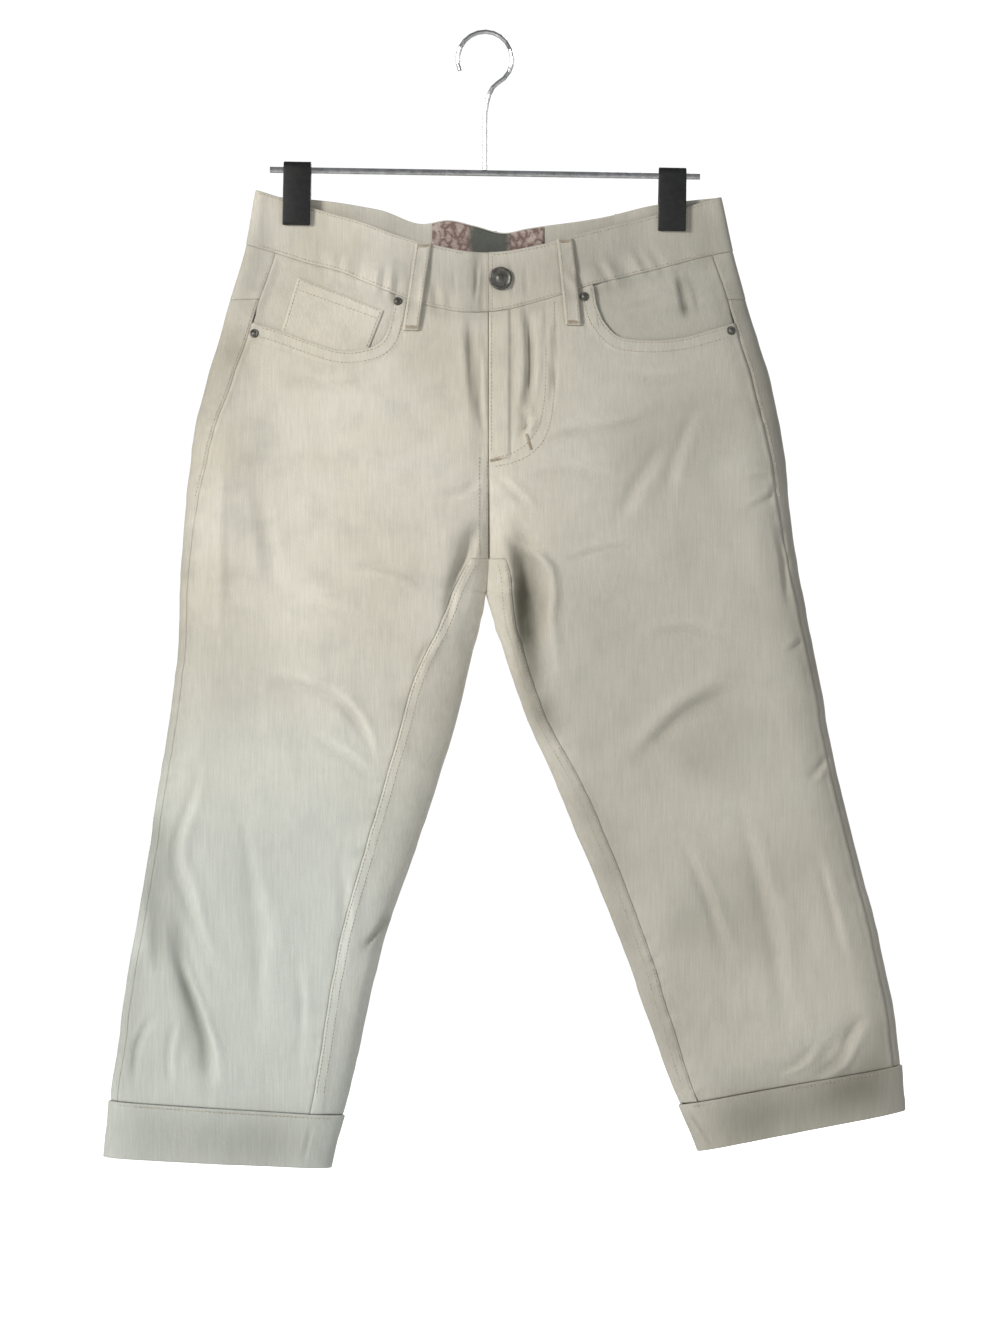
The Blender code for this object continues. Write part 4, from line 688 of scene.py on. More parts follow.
class Cloth:
    """One piece of cloth: its grids of points, with their outward directions and lifts."""

    def __init__(self):
        self.points = []
        self.normals = []
        self.quads = []
        self.count = 0

    def grid(self, points, normals, lift=0.0):
        rows, columns = points.shape[:2]
        lift = np.broadcast_to(np.asarray(lift, float), (rows, columns))
        self.points.append((points + normals * lift[..., None]).reshape(-1, 3))
        self.normals.append(normals.reshape(-1, 3))
        number = np.arange(rows * columns).reshape(rows, columns) + self.count
        self.quads.append(np.stack([number[:-1, :-1], number[:-1, 1:], number[1:, 1:], number[1:, :-1]],
                                   -1).reshape(-1, 4))
        self.count += rows * columns

    def welded(self):
        """All grids as one, with the points they share made one point."""
        points = np.concatenate(self.points)
        normals = np.concatenate(self.normals)
        quads = np.concatenate(self.quads)
        _, first, number = np.unique(np.round(points / 0.004).astype(np.int64), axis=0,
                                     return_index=True, return_inverse=True)
        number = number.reshape(-1)
        merged = np.zeros((len(first), 3))
        np.add.at(merged, number, normals)
        merged /= np.linalg.norm(merged, axis=1)[:, None] + 1e-12
        faces = []
        for quad in number[quads]:
            corners = list(dict.fromkeys(quad.tolist()))
            if len(corners) > 2:
                faces.append(corners)
        return points[first], merged, faces


def shell(name, cloth, wall, finish, replaced, soft_edge=0.30):
    """A thin closed shell of cloth: the outer face on the grid, the inner one a wall below, edges rounded."""
    points, normals, faces = cloth.welded()
    edges = {}
    for face in faces:
        for i, corner in enumerate(face):
            following = face[(i + 1) % len(face)]
            edges[(corner, following)] = edges.get((corner, following), 0) + 1
    rim = [pair for pair in edges if (pair[1], pair[0]) not in edges]
    drawn_in = np.zeros(len(points))
    drawn_in[[corner for pair in rim for corner in pair]] = soft_edge * wall
    outer = points - normals * drawn_in[:, None]
    inner = points - normals * (wall - drawn_in)[:, None]
    count = len(points)
    shell_faces = faces + [[corner + count for corner in reversed(face)] for face in faces]
    shell_faces += [[end, start, start + count, end + count] for start, end in rim]
    mesh = bpy.data.meshes.new(name)
    mesh.from_pydata((np.concatenate([outer, inner]) * MM).tolist(), [], shell_faces)
    work = bmesh.new()
    work.from_mesh(mesh)
    bmesh.ops.recalc_face_normals(work, faces=work.faces)
    work.to_mesh(mesh)
    work.free()
    # painted shade for the cloth's colour, with a painted highlight on crease tops
    drop = WAIST_Z - points[:, 2]
    facing_front = normals[:, 1] < 0.0
    shade = np.where(facing_front, shaded_at("front", points[:, 0], drop), shaded_at("back", points[:, 0], drop))
    shade = np.concatenate([shade, shade]).astype(np.float32)
    mesh.attributes.new("shaded", "FLOAT", "POINT").data.foreach_set("value", shade)
    return placed(name, mesh, finish, replaced)


def placed(name, mesh, finish, replaced=()):
    mesh.materials.clear()
    mesh.materials.append(finish)
    mesh.shade_smooth()
    piece = bpy.data.objects.new(name, mesh)
    bpy.context.scene.collection.objects.link(piece)
    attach(piece, "root")
    if replaced:
        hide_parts(*replaced)
    return piece


NEAR_SEAM = np.array((0.0, 0.9, 1.8, 2.8, 4.0, 5.4, 7.0, 8.4, 9.6, 11.0))
TO_CROSS = np.array((0.0, 0.9, 1.8, 2.8, 4.0, 5.6, 7.4, 9.2, 11.0))
PAST_CROSS = np.array((0.0, 0.9, 1.8, 2.8, 3.8, 4.8, 6.2, 8.0, 10.0))


def level_rows():
    """Drops of the rows from the hip down, closer together at the fork."""
    rows = np.concatenate([np.arange(HIP_DROP, 290.0, 3.0), (291.5, 292.7, FORK_DROP, 294.4, CROSS_DROP, 296.2),
                           np.arange(297.4, 314.0, 1.6), (315.0, 317.0, 319.0, 320.4, 321.3, 322.0, APEX_DROP),
                           (322.8, 323.6, 325.0, 327.0, 329.5), np.arange(332.0, LEVEL_END_DROP - 1.5, 3.0),
                           (LEVEL_END_DROP,)])
    return rows


LEVEL_ROWS = level_rows()
LEG_ROWS = np.concatenate([np.linspace(0.0, 0.96, 110)[1:], np.linspace(0.965, 1.0, 10)])


def cuff_row(leg, step, share):
    """Drop of a leg row, which turns from level to the cuff's own slant."""
    top_outer, top_inner = CUFFS[leg][:2]
    outer = mix(LEVEL_END_DROP, top_outer - SEAM_GAP, step)
    inner = mix(LEVEL_END_DROP, top_inner - SEAM_GAP, step)
    return mix(outer, inner, share)


def settle(first, following, turns=24):
    """Repeat following until it stops moving."""
    value = first
    for _ in range(turns):
        value = mix(value, following(value), 0.6)
    return value


def near_centre(leg):
    """Distances of the inner columns from the centre; one of them lies at the end of the cross seam."""
    return np.concatenate([TO_CROSS, float(LEG[leg]["inseam"](CROSS_DROP)) + PAST_CROSS])


def front_columns(leg):
    """The front's middle columns, as fractions of the way from the side to the centre."""
    width = abs(MOUTH_START_X[leg] - CENTRE_X)
    whole = 190.0
    plain = np.linspace(0.0, 1.0, 64)[1:-1]
    start = 1.0 - (width - 26.0) / (whole - 37.0)
    close = start + np.arange(-7.0, 4.0) * 0.55 / (whole - 37.0)
    inside = np.sort(np.concatenate([plain[np.abs(plain - start) > 0.03], close,
                                     start + np.array((-0.045, 0.035))]))
    return inside


def front_x(leg, drop, inside):
    """Place of each front column at a drop (both broadcast)."""
    inward = -OUTWARD[leg]
    side = side_x(leg, drop)
    steps = near_centre(leg)
    crossed = steps[len(TO_CROSS)]
    edge_at = np.where(np.asarray(drop) > CROSS_DROP, inseam_x(leg, drop) + inward * crossed, CENTRE_X)
    near_side = [side + inward * step for step in NEAR_SEAM]
    first = side + inward * NEAR_SEAM[-1]
    last = edge_at - inward * steps[-1]
    middle = [mix(first, last, fraction) for fraction in inside]
    near_inner = [edge_at - inward * step for step in steps[::-1]]
    return near_side + middle + near_inner


def column_x(leg, index, drop, inside):
    return front_x(leg, drop, inside)[index]


def top_of(leg, x):
    """Drop of the front's upper edge: the pocket mouth, then the waistband's seam."""
    line = MOUTH[leg]
    order = np.argsort(line[:, 0])
    on_mouth = np.interp(x, line[order, 0], line[order, 1])
    beyond = OUTWARD[leg] * (x - MOUTH_START_X[leg]) > 0.0
    return np.where(beyond, on_mouth, EDGE["front_seam"](x))


def front_panel(leg):
    inside = front_columns(leg)
    count = len(NEAR_SEAM) + len(inside) + len(near_centre(leg))
    tops = np.zeros(count)
    for index in range(count):
        tops[index] = settle(100.0, lambda drop: float(top_of(leg, column_x(leg, index, drop, inside))))
    rows = []
    close = np.array((0.0, 0.7, 1.5, 2.4, 3.5, 5.0, 6.6, 8.2, 9.4, 10.6, 12.0))
    for step in close:
        rows.append(tops + HALF_GAP + step)
    for t in np.linspace(0.0, 1.0, 22)[1:-1]:
        rows.append(mix(tops + HALF_GAP + close[-1], HIP_DROP, t))
    for level in LEVEL_ROWS:
        rows.append(np.full(count, level))
    rows = np.array(rows)
    xs = np.zeros(rows.shape)
    for index in range(count):
        xs[:, index] = column_x(leg, index, rows[:, index], inside)
    leg_rows = []
    leg_xs = []
    column = np.arange(count)
    for step in LEG_ROWS:
        drop = np.full(count, float(cuff_row(leg, step, 0.5)))
        for _ in range(6):
            here = np.array(front_x(leg, drop, inside))[column, column]
            drop = cuff_row(leg, step, share_at(leg, here, drop))
        leg_rows.append(drop)
        leg_xs.append(here)
    rows = np.concatenate([rows, leg_rows])
    xs = np.concatenate([xs, leg_xs])
    xs[:, 0] -= OUTWARD[leg] * HALF_GAP
    upper = rows[:, 0] <= CROSS_DROP
    open_edge = rows[:, -1] > (FLY_DROP if leg == "right" else 0.0)
    xs[:, -1] += OUTWARD[leg] * CENTRE_GAP[leg] * (open_edge & upper)
    kept = count - len(TO_CROSS)
    below = np.flatnonzero(upper)[-1]
    cloth = Cloth()
    for piece_rows, piece_xs in ((rows[:below + 1], xs[:below + 1]), (rows[below:, :kept], xs[below:, :kept])):
        turn = turn_of_share(share_at(leg, piece_xs, piece_rows))
        cloth.grid(surface(leg, turn, piece_rows), outward(leg, turn, piece_rows, "front"),
                   front_lift(leg, piece_xs, piece_rows))
    if leg == "right":
        lapped = rows[:, -1] <= FLY_DROP
        drops = np.repeat(rows[lapped, -1][:, None], 9, 1)
        lap_x = np.repeat(np.linspace(CENTRE_X, FLY_LAP_X, 9)[None], len(drops), 0)
        lap_turn = turn_of_share(share_at("left", lap_x, drops))
        cloth.grid(surface("left", lap_turn, drops), outward("left", lap_turn, drops, "front"), UNDER_LIFT)
    return cloth


BACK_TURNS = np.linspace(0.0, 1.0, 104)
WRAP_TURNS = 1.0 - (1.0 - np.linspace(0.0, 1.0, 15)[1:]) ** 1.6


def back_turns(leg, drop):
    """Turns of the back's columns at a side drop: inner edge, round the outer one, to the side seam."""
    wrap = turn_of_share(share_at(leg, side_x(leg, drop) + OUTWARD[leg] * HALF_GAP, drop))
    return np.concatenate([PI + 1e-5 + (PI - 1e-5) * BACK_TURNS, 2.0 * PI + float(wrap) * WRAP_TURNS])


def across_share(turn):
    return np.sin(0.5 * turn) ** 2


def drop_on_edge(leg, share, edge):
    def following(drop):
        return EDGE[edge](mix(outer_edge(leg, drop), inner_edge(leg, drop), share))
    return settle(np.full(np.shape(share), 50.0), following)


def back_top_drops(leg, turn, extra):
    """Drop of the waistband's edge, or its seam, at the back's columns."""
    share = across_share(turn)
    wrapped = np.arange(len(turn)) >= len(BACK_TURNS)
    back = drop_on_edge(leg, share, "back_top") + extra
    front = drop_on_edge(leg, share, "front_seam" if extra else "front_top")
    return np.where(wrapped, front, back)


def back_grid(leg, turns, drops):
    """Points and directions of rows of the back."""
    turns = np.array(turns)
    drops = np.array(drops)
    points = surface(leg, turns, drops)
    points[:, 0, 0] += OUTWARD[leg] * CENTRE_GAP[leg] * (drops[:, 0] < APEX_DROP)
    return points, outward(leg, turns, drops, "back")


def seam_dip(leg, points, turns):
    """The back sinks where it is sewn to the front, along the side seam."""
    from_side = np.abs(points[..., 0] - side_x(leg, WAIST_Z - points[..., 2]))
    return -0.5 * np.exp(-(from_side / 1.4) ** 2) * (turns > 2.0 * PI)


def yoke(leg):
    side_seam_drop = settle(50.0, lambda drop: float(EDGE["front_seam"](side_x(leg, drop))))
    turns = []
    drops = []
    top_turn = back_turns(leg, side_seam_drop)
    tops = back_top_drops(leg, top_turn, BAND_WIDTH)
    steps = np.concatenate([[0.0, 0.02, 0.045], np.linspace(0.08, 0.86, 16), [0.90, 0.94, 0.97, 1.0]])
    for t in steps:
        turn = back_turns(leg, mix(side_seam_drop, YOKE_SIDE_DROP, t))
        foot = np.where(np.arange(len(turn)) >= len(BACK_TURNS), YOKE_SIDE_DROP, yoke_drop(across_share(turn)))
        turns.append(turn)
        drops.append(mix(tops + HALF_GAP, foot - HALF_GAP, t))
    cloth = Cloth()
    points, normals = back_grid(leg, turns, drops)
    cloth.grid(points, normals, 0.25 + seam_dip(leg, points, np.array(turns)))
    return cloth


def back_panel(leg):
    turns = []
    drops = []
    steps = np.concatenate([[0.0, 0.01, 0.022, 0.036, 0.055], np.linspace(0.08, 1.0, 34)])
    for t in steps[:-1]:
        side_drop = mix(YOKE_SIDE_DROP, YOKE_FOOT_DROP, t)
        turn = back_turns(leg, side_drop)
        foot = np.where(np.arange(len(turn)) >= len(BACK_TURNS), YOKE_SIDE_DROP, yoke_drop(across_share(turn)))
        turns.append(turn)
        drops.append(mix(foot + HALF_GAP, YOKE_FOOT_DROP, t))
    for level in LEVEL_ROWS[LEVEL_ROWS >= YOKE_FOOT_DROP]:
        turns.append(back_turns(leg, level))
        drops.append(np.full(len(turns[-1]), level))
    edge_rows = []
    for step in LEG_ROWS:
        side_drop = settle(500.0, lambda drop: float(cuff_row(leg, step, share_at(leg, side_x(leg, drop), drop))), 10)
        turn = back_turns(leg, side_drop)
        turns.append(turn)
        drops.append(cuff_row(leg, step, across_share(turn)))
        edge_rows.append(float(cuff_row(leg, step, 1.0)))
    cloth = Cloth()
    points, normals = back_grid(leg, turns, drops)
    cloth.grid(points, normals, seam_dip(leg, points, np.array(turns)))
    spread = np.linspace(0.0, 1.0, 22) ** 1.5
    gusset_turns = []
    gusset_drops = []
    for level in LEVEL_ROWS[LEVEL_ROWS >= CROSS_DROP]:
        start = turn_of_share(share_at(leg, inseam_x(leg, level) - OUTWARD[leg] * HALF_GAP, level))
        level += 2.0 * HALF_GAP * (level == CROSS_DROP)
        gusset_turns.append(mix(float(start), PI, spread))
        gusset_drops.append(np.full(len(spread), level))
    for step, edge_drop in zip(LEG_ROWS, edge_rows):
        seam_drop = settle(500.0, lambda drop: float(cuff_row(leg, step, share_at(leg, inseam_x(leg, drop), drop))), 10)
        start = turn_of_share(share_at(leg, inseam_x(leg, seam_drop) - OUTWARD[leg] * HALF_GAP, seam_drop))
        gusset_turns.append(mix(float(start), PI, spread))
        gusset_drops.append(mix(seam_drop, edge_drop, spread))
    gusset_turns = np.array(gusset_turns)
    gusset_drops = np.array(gusset_drops)
    points = surface(leg, gusset_turns, gusset_drops)
    points[:, -1, 0] += OUTWARD[leg] * CENTRE_GAP[leg] * (gusset_drops[:, -1] < APEX_DROP)
    felled = 0.55 * (1.0 - ease((np.abs(points[..., 0] - points[:, :1, 0]) - 8.6) / 1.4))
    felled *= ease((gusset_drops - FORK_DROP) / 8.0) * ease(np.abs(points[..., 0] - points[:, -1:, 0]) / 4.0)
    felled -= 0.5 * np.exp(-((points[..., 0] - points[:, :1, 0]) / 1.3) ** 2)
    normals = outward(leg, gusset_turns, gusset_drops, "front")
    cloth.grid(points, normals, felled)
    return cloth


def waistband(leg):
    """Half of the waistband, from the front opening round the side to the centre back."""
    front_turn = PI - PI * np.linspace(0.0, 1.0, 110)
    back_turn = 2.0 * PI - (PI - 1e-5) * np.linspace(0.0, 1.0, 110)[1:]
    turn = np.concatenate([front_turn, back_turn])
    share = across_share(turn)
    on_back = np.arange(len(turn)) >= len(front_turn)
    top = np.where(on_back, drop_on_edge(leg, share, "back_top"), drop_on_edge(leg, share, "front_top"))
    foot = np.where(on_back, drop_on_edge(leg, share, "back_top") + BAND_WIDTH,
                    drop_on_edge(leg, share, "front_seam")) - HALF_GAP
    edge = np.array((0.0, 0.6, 1.4, 2.4, 3.6)) / BAND_WIDTH
    steps = np.concatenate([edge, np.linspace(0.12, 0.88, 14), 1.0 - edge[::-1]])
    drops = mix(top[None], foot[None], steps[:, None])
    turns = np.repeat(turn[None], len(steps), 0)
    points = surface(leg, turns, drops)
    normals = np.where(on_back[None, :, None], outward(leg, turns, drops, "back"),
                       outward(leg, turns, drops, "front"))
    padding = 0.35 * np.sin(PI * steps)[:, None] ** 0.5
    lift = BAND_PROUD + padding + np.zeros(turns.shape)
    x = points[..., 0].copy()
    if leg == "right":
        lift += (BAND_UNDER_LIFT - lift) * ease((x - LAP_START_X) / -LAP_START_X) * ~on_back[None]
    else:
        points[:, 0, 0] += HALF_GAP
    points[:, -1, 0] += OUTWARD[leg] * HALF_GAP
    cloth = Cloth()
    cloth.grid(points, normals, lift)
    if leg == "right":
        lap_x = np.repeat(np.linspace(CENTRE_X, BAND_LAP_X, 12)[None], len(steps), 0)
        lap_drop = mix(EDGE["front_top"](lap_x), EDGE["front_seam"](lap_x) - HALF_GAP, steps[:, None])
        lap_turn = turn_of_share(share_at("left", lap_x, lap_drop))
        cloth.grid(surface("left", lap_turn, lap_drop)[:, ::-1],
                   outward("left", lap_turn, lap_drop, "front")[:, ::-1], BAND_UNDER_LIFT)
    return cloth


def patch(corners, columns, rows, face, lift):
    """A four-cornered piece: corners are (x, drop), upper pair then lower pair."""
    (x00, d00), (x10, d10), (x01, d01), (x11, d11) = corners
    u = np.array(columns)[None, :]
    v = np.array(rows)[:, None]
    x = mix(mix(x00, x10, u), mix(x01, x11, u), v)
    drop = mix(mix(d00, d10, u), mix(d01, d11, u), v)
    lifted = lift(x, drop) if callable(lift) else lift + np.zeros(x.shape)
    points, normals = on_face(face, x, drop, lifted)
    cloth = Cloth()
    cloth.grid(points, normals)
    return cloth


def coin_lift(x, drop):
    return facing_lift("right", x, drop) + COIN_LIFT


COIN_CORNERS = ((-149.6, 69.6), (-80.8, 97.6), (-164.5, 122.0), (-95.5, 136.0))


def facing_lift(leg, x, drop):
    """The facing lies behind the pocket mouth and comes forward where it meets the band and the side."""
    below_band = drop - EDGE["front_seam"](x)
    from_side = np.abs(x - side_x(leg, drop))
    uncovered = ease((OUTWARD[leg] * (x - MOUTH_START_X[leg]) - 3.0) / 7.0)
    at_band = (1.0 - ease(below_band / 10.0)) * uncovered
    at_side = (1.0 - ease(from_side / 8.0)) * (1.0 - ease((drop - 92.0) / 9.0))
    return mix(FACING_LIFT, -0.35, np.maximum(at_band, at_side))


def pocket_facing(leg):
    """The facing behind the pocket mouth."""
    line = MOUTH[leg]
    beyond = MOUTH_START_X[leg] - OUTWARD[leg] * 12.0
    lowest = line[:, 1].max()
    fraction = np.linspace(0.0, 1.0, 56)
    rows = np.concatenate([np.linspace(0.0, 0.06, 4), np.linspace(0.1, 1.0, 30)])
    order = np.argsort(line[:, 0])
    x_mid = mix(float(side_x(leg, 100.0)), beyond, fraction)
    mouth_drop = np.interp(x_mid, line[order, 0], line[order, 1])
    foot = np.maximum(mouth_drop + 12.0, (lowest + 7.0) * ease((fraction - 0.12) / 0.2))
    foot = np.where(fraction > 0.8, lowest + 7.0, foot)
    drops = np.zeros((len(rows), len(fraction)))
    xs = np.zeros(drops.shape)
    for j, part in enumerate(fraction):
        def place(drop, part=part):
            return mix(side_x(leg, drop) - OUTWARD[leg] * HALF_GAP, beyond, part)
        top = settle(60.0, lambda drop: float(EDGE["front_seam"](place(drop))))
        drops[:, j] = mix(top + HALF_GAP, foot[j], rows)
        xs[:, j] = place(drops[:, j])
    turn = turn_of_share(share_at(leg, xs, drops))
    cloth = Cloth()
    cloth.grid(surface(leg, turn, drops), outward(leg, turn, drops, "front"), facing_lift(leg, xs, drops))
    return cloth


def cuff(leg):
    """The turned-up cuff, one ring round the foot of the leg."""
    top_outer, top_inner, hem_outer, hem_inner = CUFFS[leg]
    turn = 2.0 * PI * np.arange(177) / 176.0
    share = across_share(turn)
    edge = np.array((0.0, 0.7, 1.5, 2.5, 4.0)) / 44.0
    steps = np.concatenate([edge, np.linspace(0.13, 0.87, 13), 1.0 - edge[::-1]])
    drops = mix(mix(top_outer, top_inner, share)[None], mix(hem_outer, hem_inner, share)[None], steps[:, None])
    turns = np.repeat(turn[None], len(steps), 0)
    points = surface(leg, turns, drops)
    points[:, -1] = points[:, 0]
    normals = np.where((turns <= PI)[..., None], outward(leg, turns, drops, "front"),
                       outward(leg, turns, drops, "back"))
    normals[:, -1] = normals[:, 0]
    seed = 60 if leg == "right" else 70
    around = turn * 60.0
    low = np.exp(-((1.0 - steps) * 44.0 / 9.0) ** 2)[:, None] * 0.55 * wiggle(around / 9.0, seed)[None]
    high = np.exp(-(steps * 44.0 / 6.0) ** 2)[:, None] * 0.30 * wiggle(around / 8.0, seed + 1)[None]
    body = 0.5 * ripple(around[None], steps[:, None] * 44.0, 26.0, seed)
    lift = CUFF_PROUD + (low + high + body) * np.abs(np.sin(turns)) ** 0.5
    lift[:, -1] = lift[:, 0]
    cloth = Cloth()
    cloth.grid(points, normals, lift)
    return cloth


LOOPS = (("belt_loop_front_right", "front", -48.8, -59.2, 113.6), ("belt_loop_front_left", "front", 63.2, 70.4, 109.6),
         ("belt_loop_back_right", "back", -104.0, -108.16, None),
         ("belt_loop_back_centre", "back", CENTRE_X, 3.328, None), ("belt_loop_back_left", "back", 110.0, 114.4, None))


def loop_corners(face, x_top, x_foot, foot):
    edge = "front_top" if face == "front" else "back_top"
    top = float(EDGE[edge](x_top)) + 0.6
    if foot is None:
        foot = float(EDGE["back_top"](x_top)) + BAND_WIDTH + 15.0
    half = 0.5 * LOOP_WIDTH
    return ((x_top - half, top), (x_top + half, top), (x_foot - half, foot), (x_foot + half, foot))


def loop_lift(u, v):
    """A belt loop's lift: bowed out between its ends, with a rib along each edge."""
    ribs = 0.35 * np.exp(-((np.abs(u - 0.5) - 0.36) / 0.09) ** 2)
    slack = LOOP_BOW * np.sin(PI * v) + 0.25 * wiggle(v * 9.0 + u * 2.0, 80)
    ends = 0.5 * (np.exp(-(v / 0.03) ** 2) + np.exp(-((1.0 - v) / 0.03) ** 2))
    return LOOP_LIFT + slack * np.sin(PI * v) ** 0.3 + ribs - ends


def belt_loop(name, face, x_top, x_foot, foot):
    u = np.array((0.0, 0.05, 0.12, 0.2, 0.32, 0.5, 0.68, 0.8, 0.88, 0.95, 1.0))
    v = np.concatenate([(0.0, 0.01, 0.025), np.linspace(0.05, 0.95, 26), (0.975, 0.99, 1.0)])
    return patch(loop_corners(face, x_top, x_foot, foot), u, v, face, loop_lift(u[None, :], v[:, None]))


LABEL_FROM_X = -42.4
LABEL_TO_X = 47.2


def waist_label():
    """The printed patch on the inside of the waistband at the back."""
    x = np.repeat(np.linspace(LABEL_FROM_X, LABEL_TO_X, 46)[None], 18, 0)
    drop = EDGE["back_top"](x) + 1.0 + np.linspace(0.0, 34.0, 18)[:, None]
    lift = -(BAND_CLOTH - BAND_PROUD + 0.45) + 0.25 * wiggle(x / 9.0, 90)
    points, normals = on_face("back", x, drop, lift)
    cloth = Cloth()
    cloth.grid(points, normals)
    return cloth


# ---------------------------------------------------------------- finishes
def new_material(name):
    material = bpy.data.materials.new(name)
    material.use_nodes = True
    tree = material.node_tree
    tree.nodes.clear()
    output = tree.nodes.new("ShaderNodeOutputMaterial")
    shader = tree.nodes.new("ShaderNodeBsdfPrincipled")
    tree.links.new(shader.outputs["BSDF"], output.inputs["Surface"])
    return material, tree, shader


def node(tree, kind, values=(), **settings):
    made = tree.nodes.new(kind)
    for key, value in settings.items():
        setattr(made, key, value)
    for key, value in dict(values).items():
        if isinstance(value, bpy.types.NodeSocket):
            tree.links.new(value, made.inputs[key])
        else:
            made.inputs[key].default_value = value
    return made


def noise(tree, where, scale, detail=3.0, roughness=0.55):
    return node(tree, "ShaderNodeTexNoise",
                {"Vector": where, "Scale": scale, "Detail": detail, "Roughness": roughness}).outputs["Fac"]


def stretched(tree, where, scale, turn=(0.0, 0.0, 0.0)):
    return node(tree, "ShaderNodeMapping", {"Vector": where, "Scale": scale, "Rotation": turn}).outputs["Vector"]


def ranged(tree, value, low, high, to_low=0.0, to_high=1.0):
    return node(tree, "ShaderNodeMapRange", {"Value": value, "From Min": low, "From Max": high,
                                             "To Min": to_low, "To Max": to_high},
                interpolation_type="SMOOTHSTEP").outputs["Result"]


def maths(tree, operation, first, second):
    made = tree.nodes.new("ShaderNodeMath")
    made.operation = operation
    for socket, value in zip(made.inputs, (first, second)):
        if isinstance(value, bpy.types.NodeSocket):
            tree.links.new(value, socket)
        else:
            socket.default_value = value
    return made.outputs[0]


def blended(tree, fac, first, second, how="MIX"):
    made = tree.nodes.new("ShaderNodeMix")
    made.data_type = "RGBA"
    made.blend_type = how
    for socket, value in ((made.inputs[0], fac), (made.inputs[6], first), (made.inputs[7], second)):
        if isinstance(value, bpy.types.NodeSocket):
            tree.links.new(value, socket)
        else:
            socket.default_value = value
    return made.outputs[2]


def bumped(tree, shader, height, distance, strength):
    bump = node(tree, "ShaderNodeBump", {"Height": height, "Distance": distance, "Strength": strength})
    tree.links.new(bump.outputs["Normal"], shader.inputs["Normal"])


WARM = (0.650, 0.605, 0.505, 1.0)
PALE = (0.715, 0.680, 0.590, 1.0)
# the greyed colour is both the cloth's random grey mottle and a painted grey shade over the left leg
GREY_MOTTLE_AND_SHADE = (0.470, 0.455, 0.395, 1.0)
# the cool colour is a painted cool tint of the light, low on the right leg
COOL_PAINTED_LIGHT = (0.610, 0.650, 0.610, 1.0)


def twill(name, brightness=1.0):
    """Off-white twill: a fine steep rib, slubs along the leg.  A painted cool tint of the light low on the right leg,
    painted grey shade over the left one, and darkened by the painted shade drawn on each piece, lightened by its
    painted highlight on crease tops."""
    material, tree, shader = new_material(name)
    where = node(tree, "ShaderNodeTexCoord").outputs["Object"]
    split = node(tree, "ShaderNodeSeparateXYZ", {"Vector": where})
    across = split.outputs["X"]
    height = split.outputs["Z"]
    cloudy = noise(tree, where, 9.0, 4.0)
    mottled = noise(tree, where, 42.0, 5.0)
    slubs = noise(tree, stretched(tree, where, (900.0, 900.0, 38.0)), 1.0, 4.0, 0.6)
    speckle = noise(tree, where, 1500.0, 2.0)
    base = blended(tree, ranged(tree, cloudy, 0.35, 0.65), tinted(WARM, brightness), tinted(PALE, brightness))
    base = blended(tree, ranged(tree, mottled, 0.45, 0.75, 0.0, 0.35), base, tinted(GREY_MOTTLE_AND_SHADE, brightness))
    # painted cool tint of the light, low on the right leg, its upper edge broken by cloudy noise
    edge = maths(tree, "ADD", height, maths(tree, "MULTIPLY", cloudy, 0.16))
    low = ranged(tree, edge, -0.34, -0.62)
    cool_light_toward_right = ranged(tree, across, 0.02, -0.14)
    base = blended(tree, maths(tree, "MULTIPLY", maths(tree, "MULTIPLY", low, cool_light_toward_right), 0.75), base,
                   tinted(COOL_PAINTED_LIGHT, brightness))
    # painted grey shade over the left leg
    grey_shade_toward_left = ranged(tree, across, 0.0, 0.09, 0.0, 0.55)
    base = blended(tree, grey_shade_toward_left, base, tinted(GREY_MOTTLE_AND_SHADE, brightness))
    # painted shade from each piece's shaded attribute, lightening where it goes below nothing: a painted highlight on
    # crease tops
    shaded = node(tree, "ShaderNodeAttribute", attribute_name="shaded").outputs["Fac"]
    kept = maths(tree, "SUBTRACT", 1.0, shaded)
    kept_blue = maths(tree, "SUBTRACT", 1.0, maths(tree, "MULTIPLY", shaded, 1.04))
    darkened = node(tree, "ShaderNodeCombineColor", {"Red": kept, "Green": kept, "Blue": kept_blue})
    base = blended(tree, 1.0, base, darkened.outputs["Color"], "MULTIPLY")
    threads = ranged(tree, slubs, 0.30, 0.72, 0.93, 1.05)
    base = blended(tree, 1.0, base, gray_of(tree, threads), "MULTIPLY")
    tree.links.new(base, shader.inputs["Base Color"])
    shader.inputs["Roughness"].default_value = 0.88
    shader.inputs["Sheen Weight"].default_value = 0.18
    shader.inputs["Sheen Roughness"].default_value = 0.5
    shader.inputs["Specular IOR Level"].default_value = 0.25
    rib = node(tree, "ShaderNodeTexWave", {"Vector": stretched(tree, where, (1.0, 1.0, 1.0), (0.0, 0.5, 0.0)),
                                           "Scale": 190.0, "Distortion": 1.2, "Detail": 2.0,
                                           "Detail Scale": 2.0}).outputs["Fac"]
    grain = maths(tree, "ADD", maths(tree, "MULTIPLY", rib, 0.22), maths(tree, "MULTIPLY", slubs, 0.8))
    grain = maths(tree, "ADD", grain, maths(tree, "MULTIPLY", speckle, 0.35))
    grain = maths(tree, "ADD", grain, maths(tree, "MULTIPLY", mottled, 1.6))
    bumped(tree, shader, grain, 0.00035, 0.55)
    return material


def tinted(colour, brightness):
    return tuple(channel * brightness for channel in colour[:3]) + (1.0,)


def gray_of(tree, value):
    return node(tree, "ShaderNodeCombineColor", {"Red": value, "Green": value, "Blue": value}).outputs["Color"]


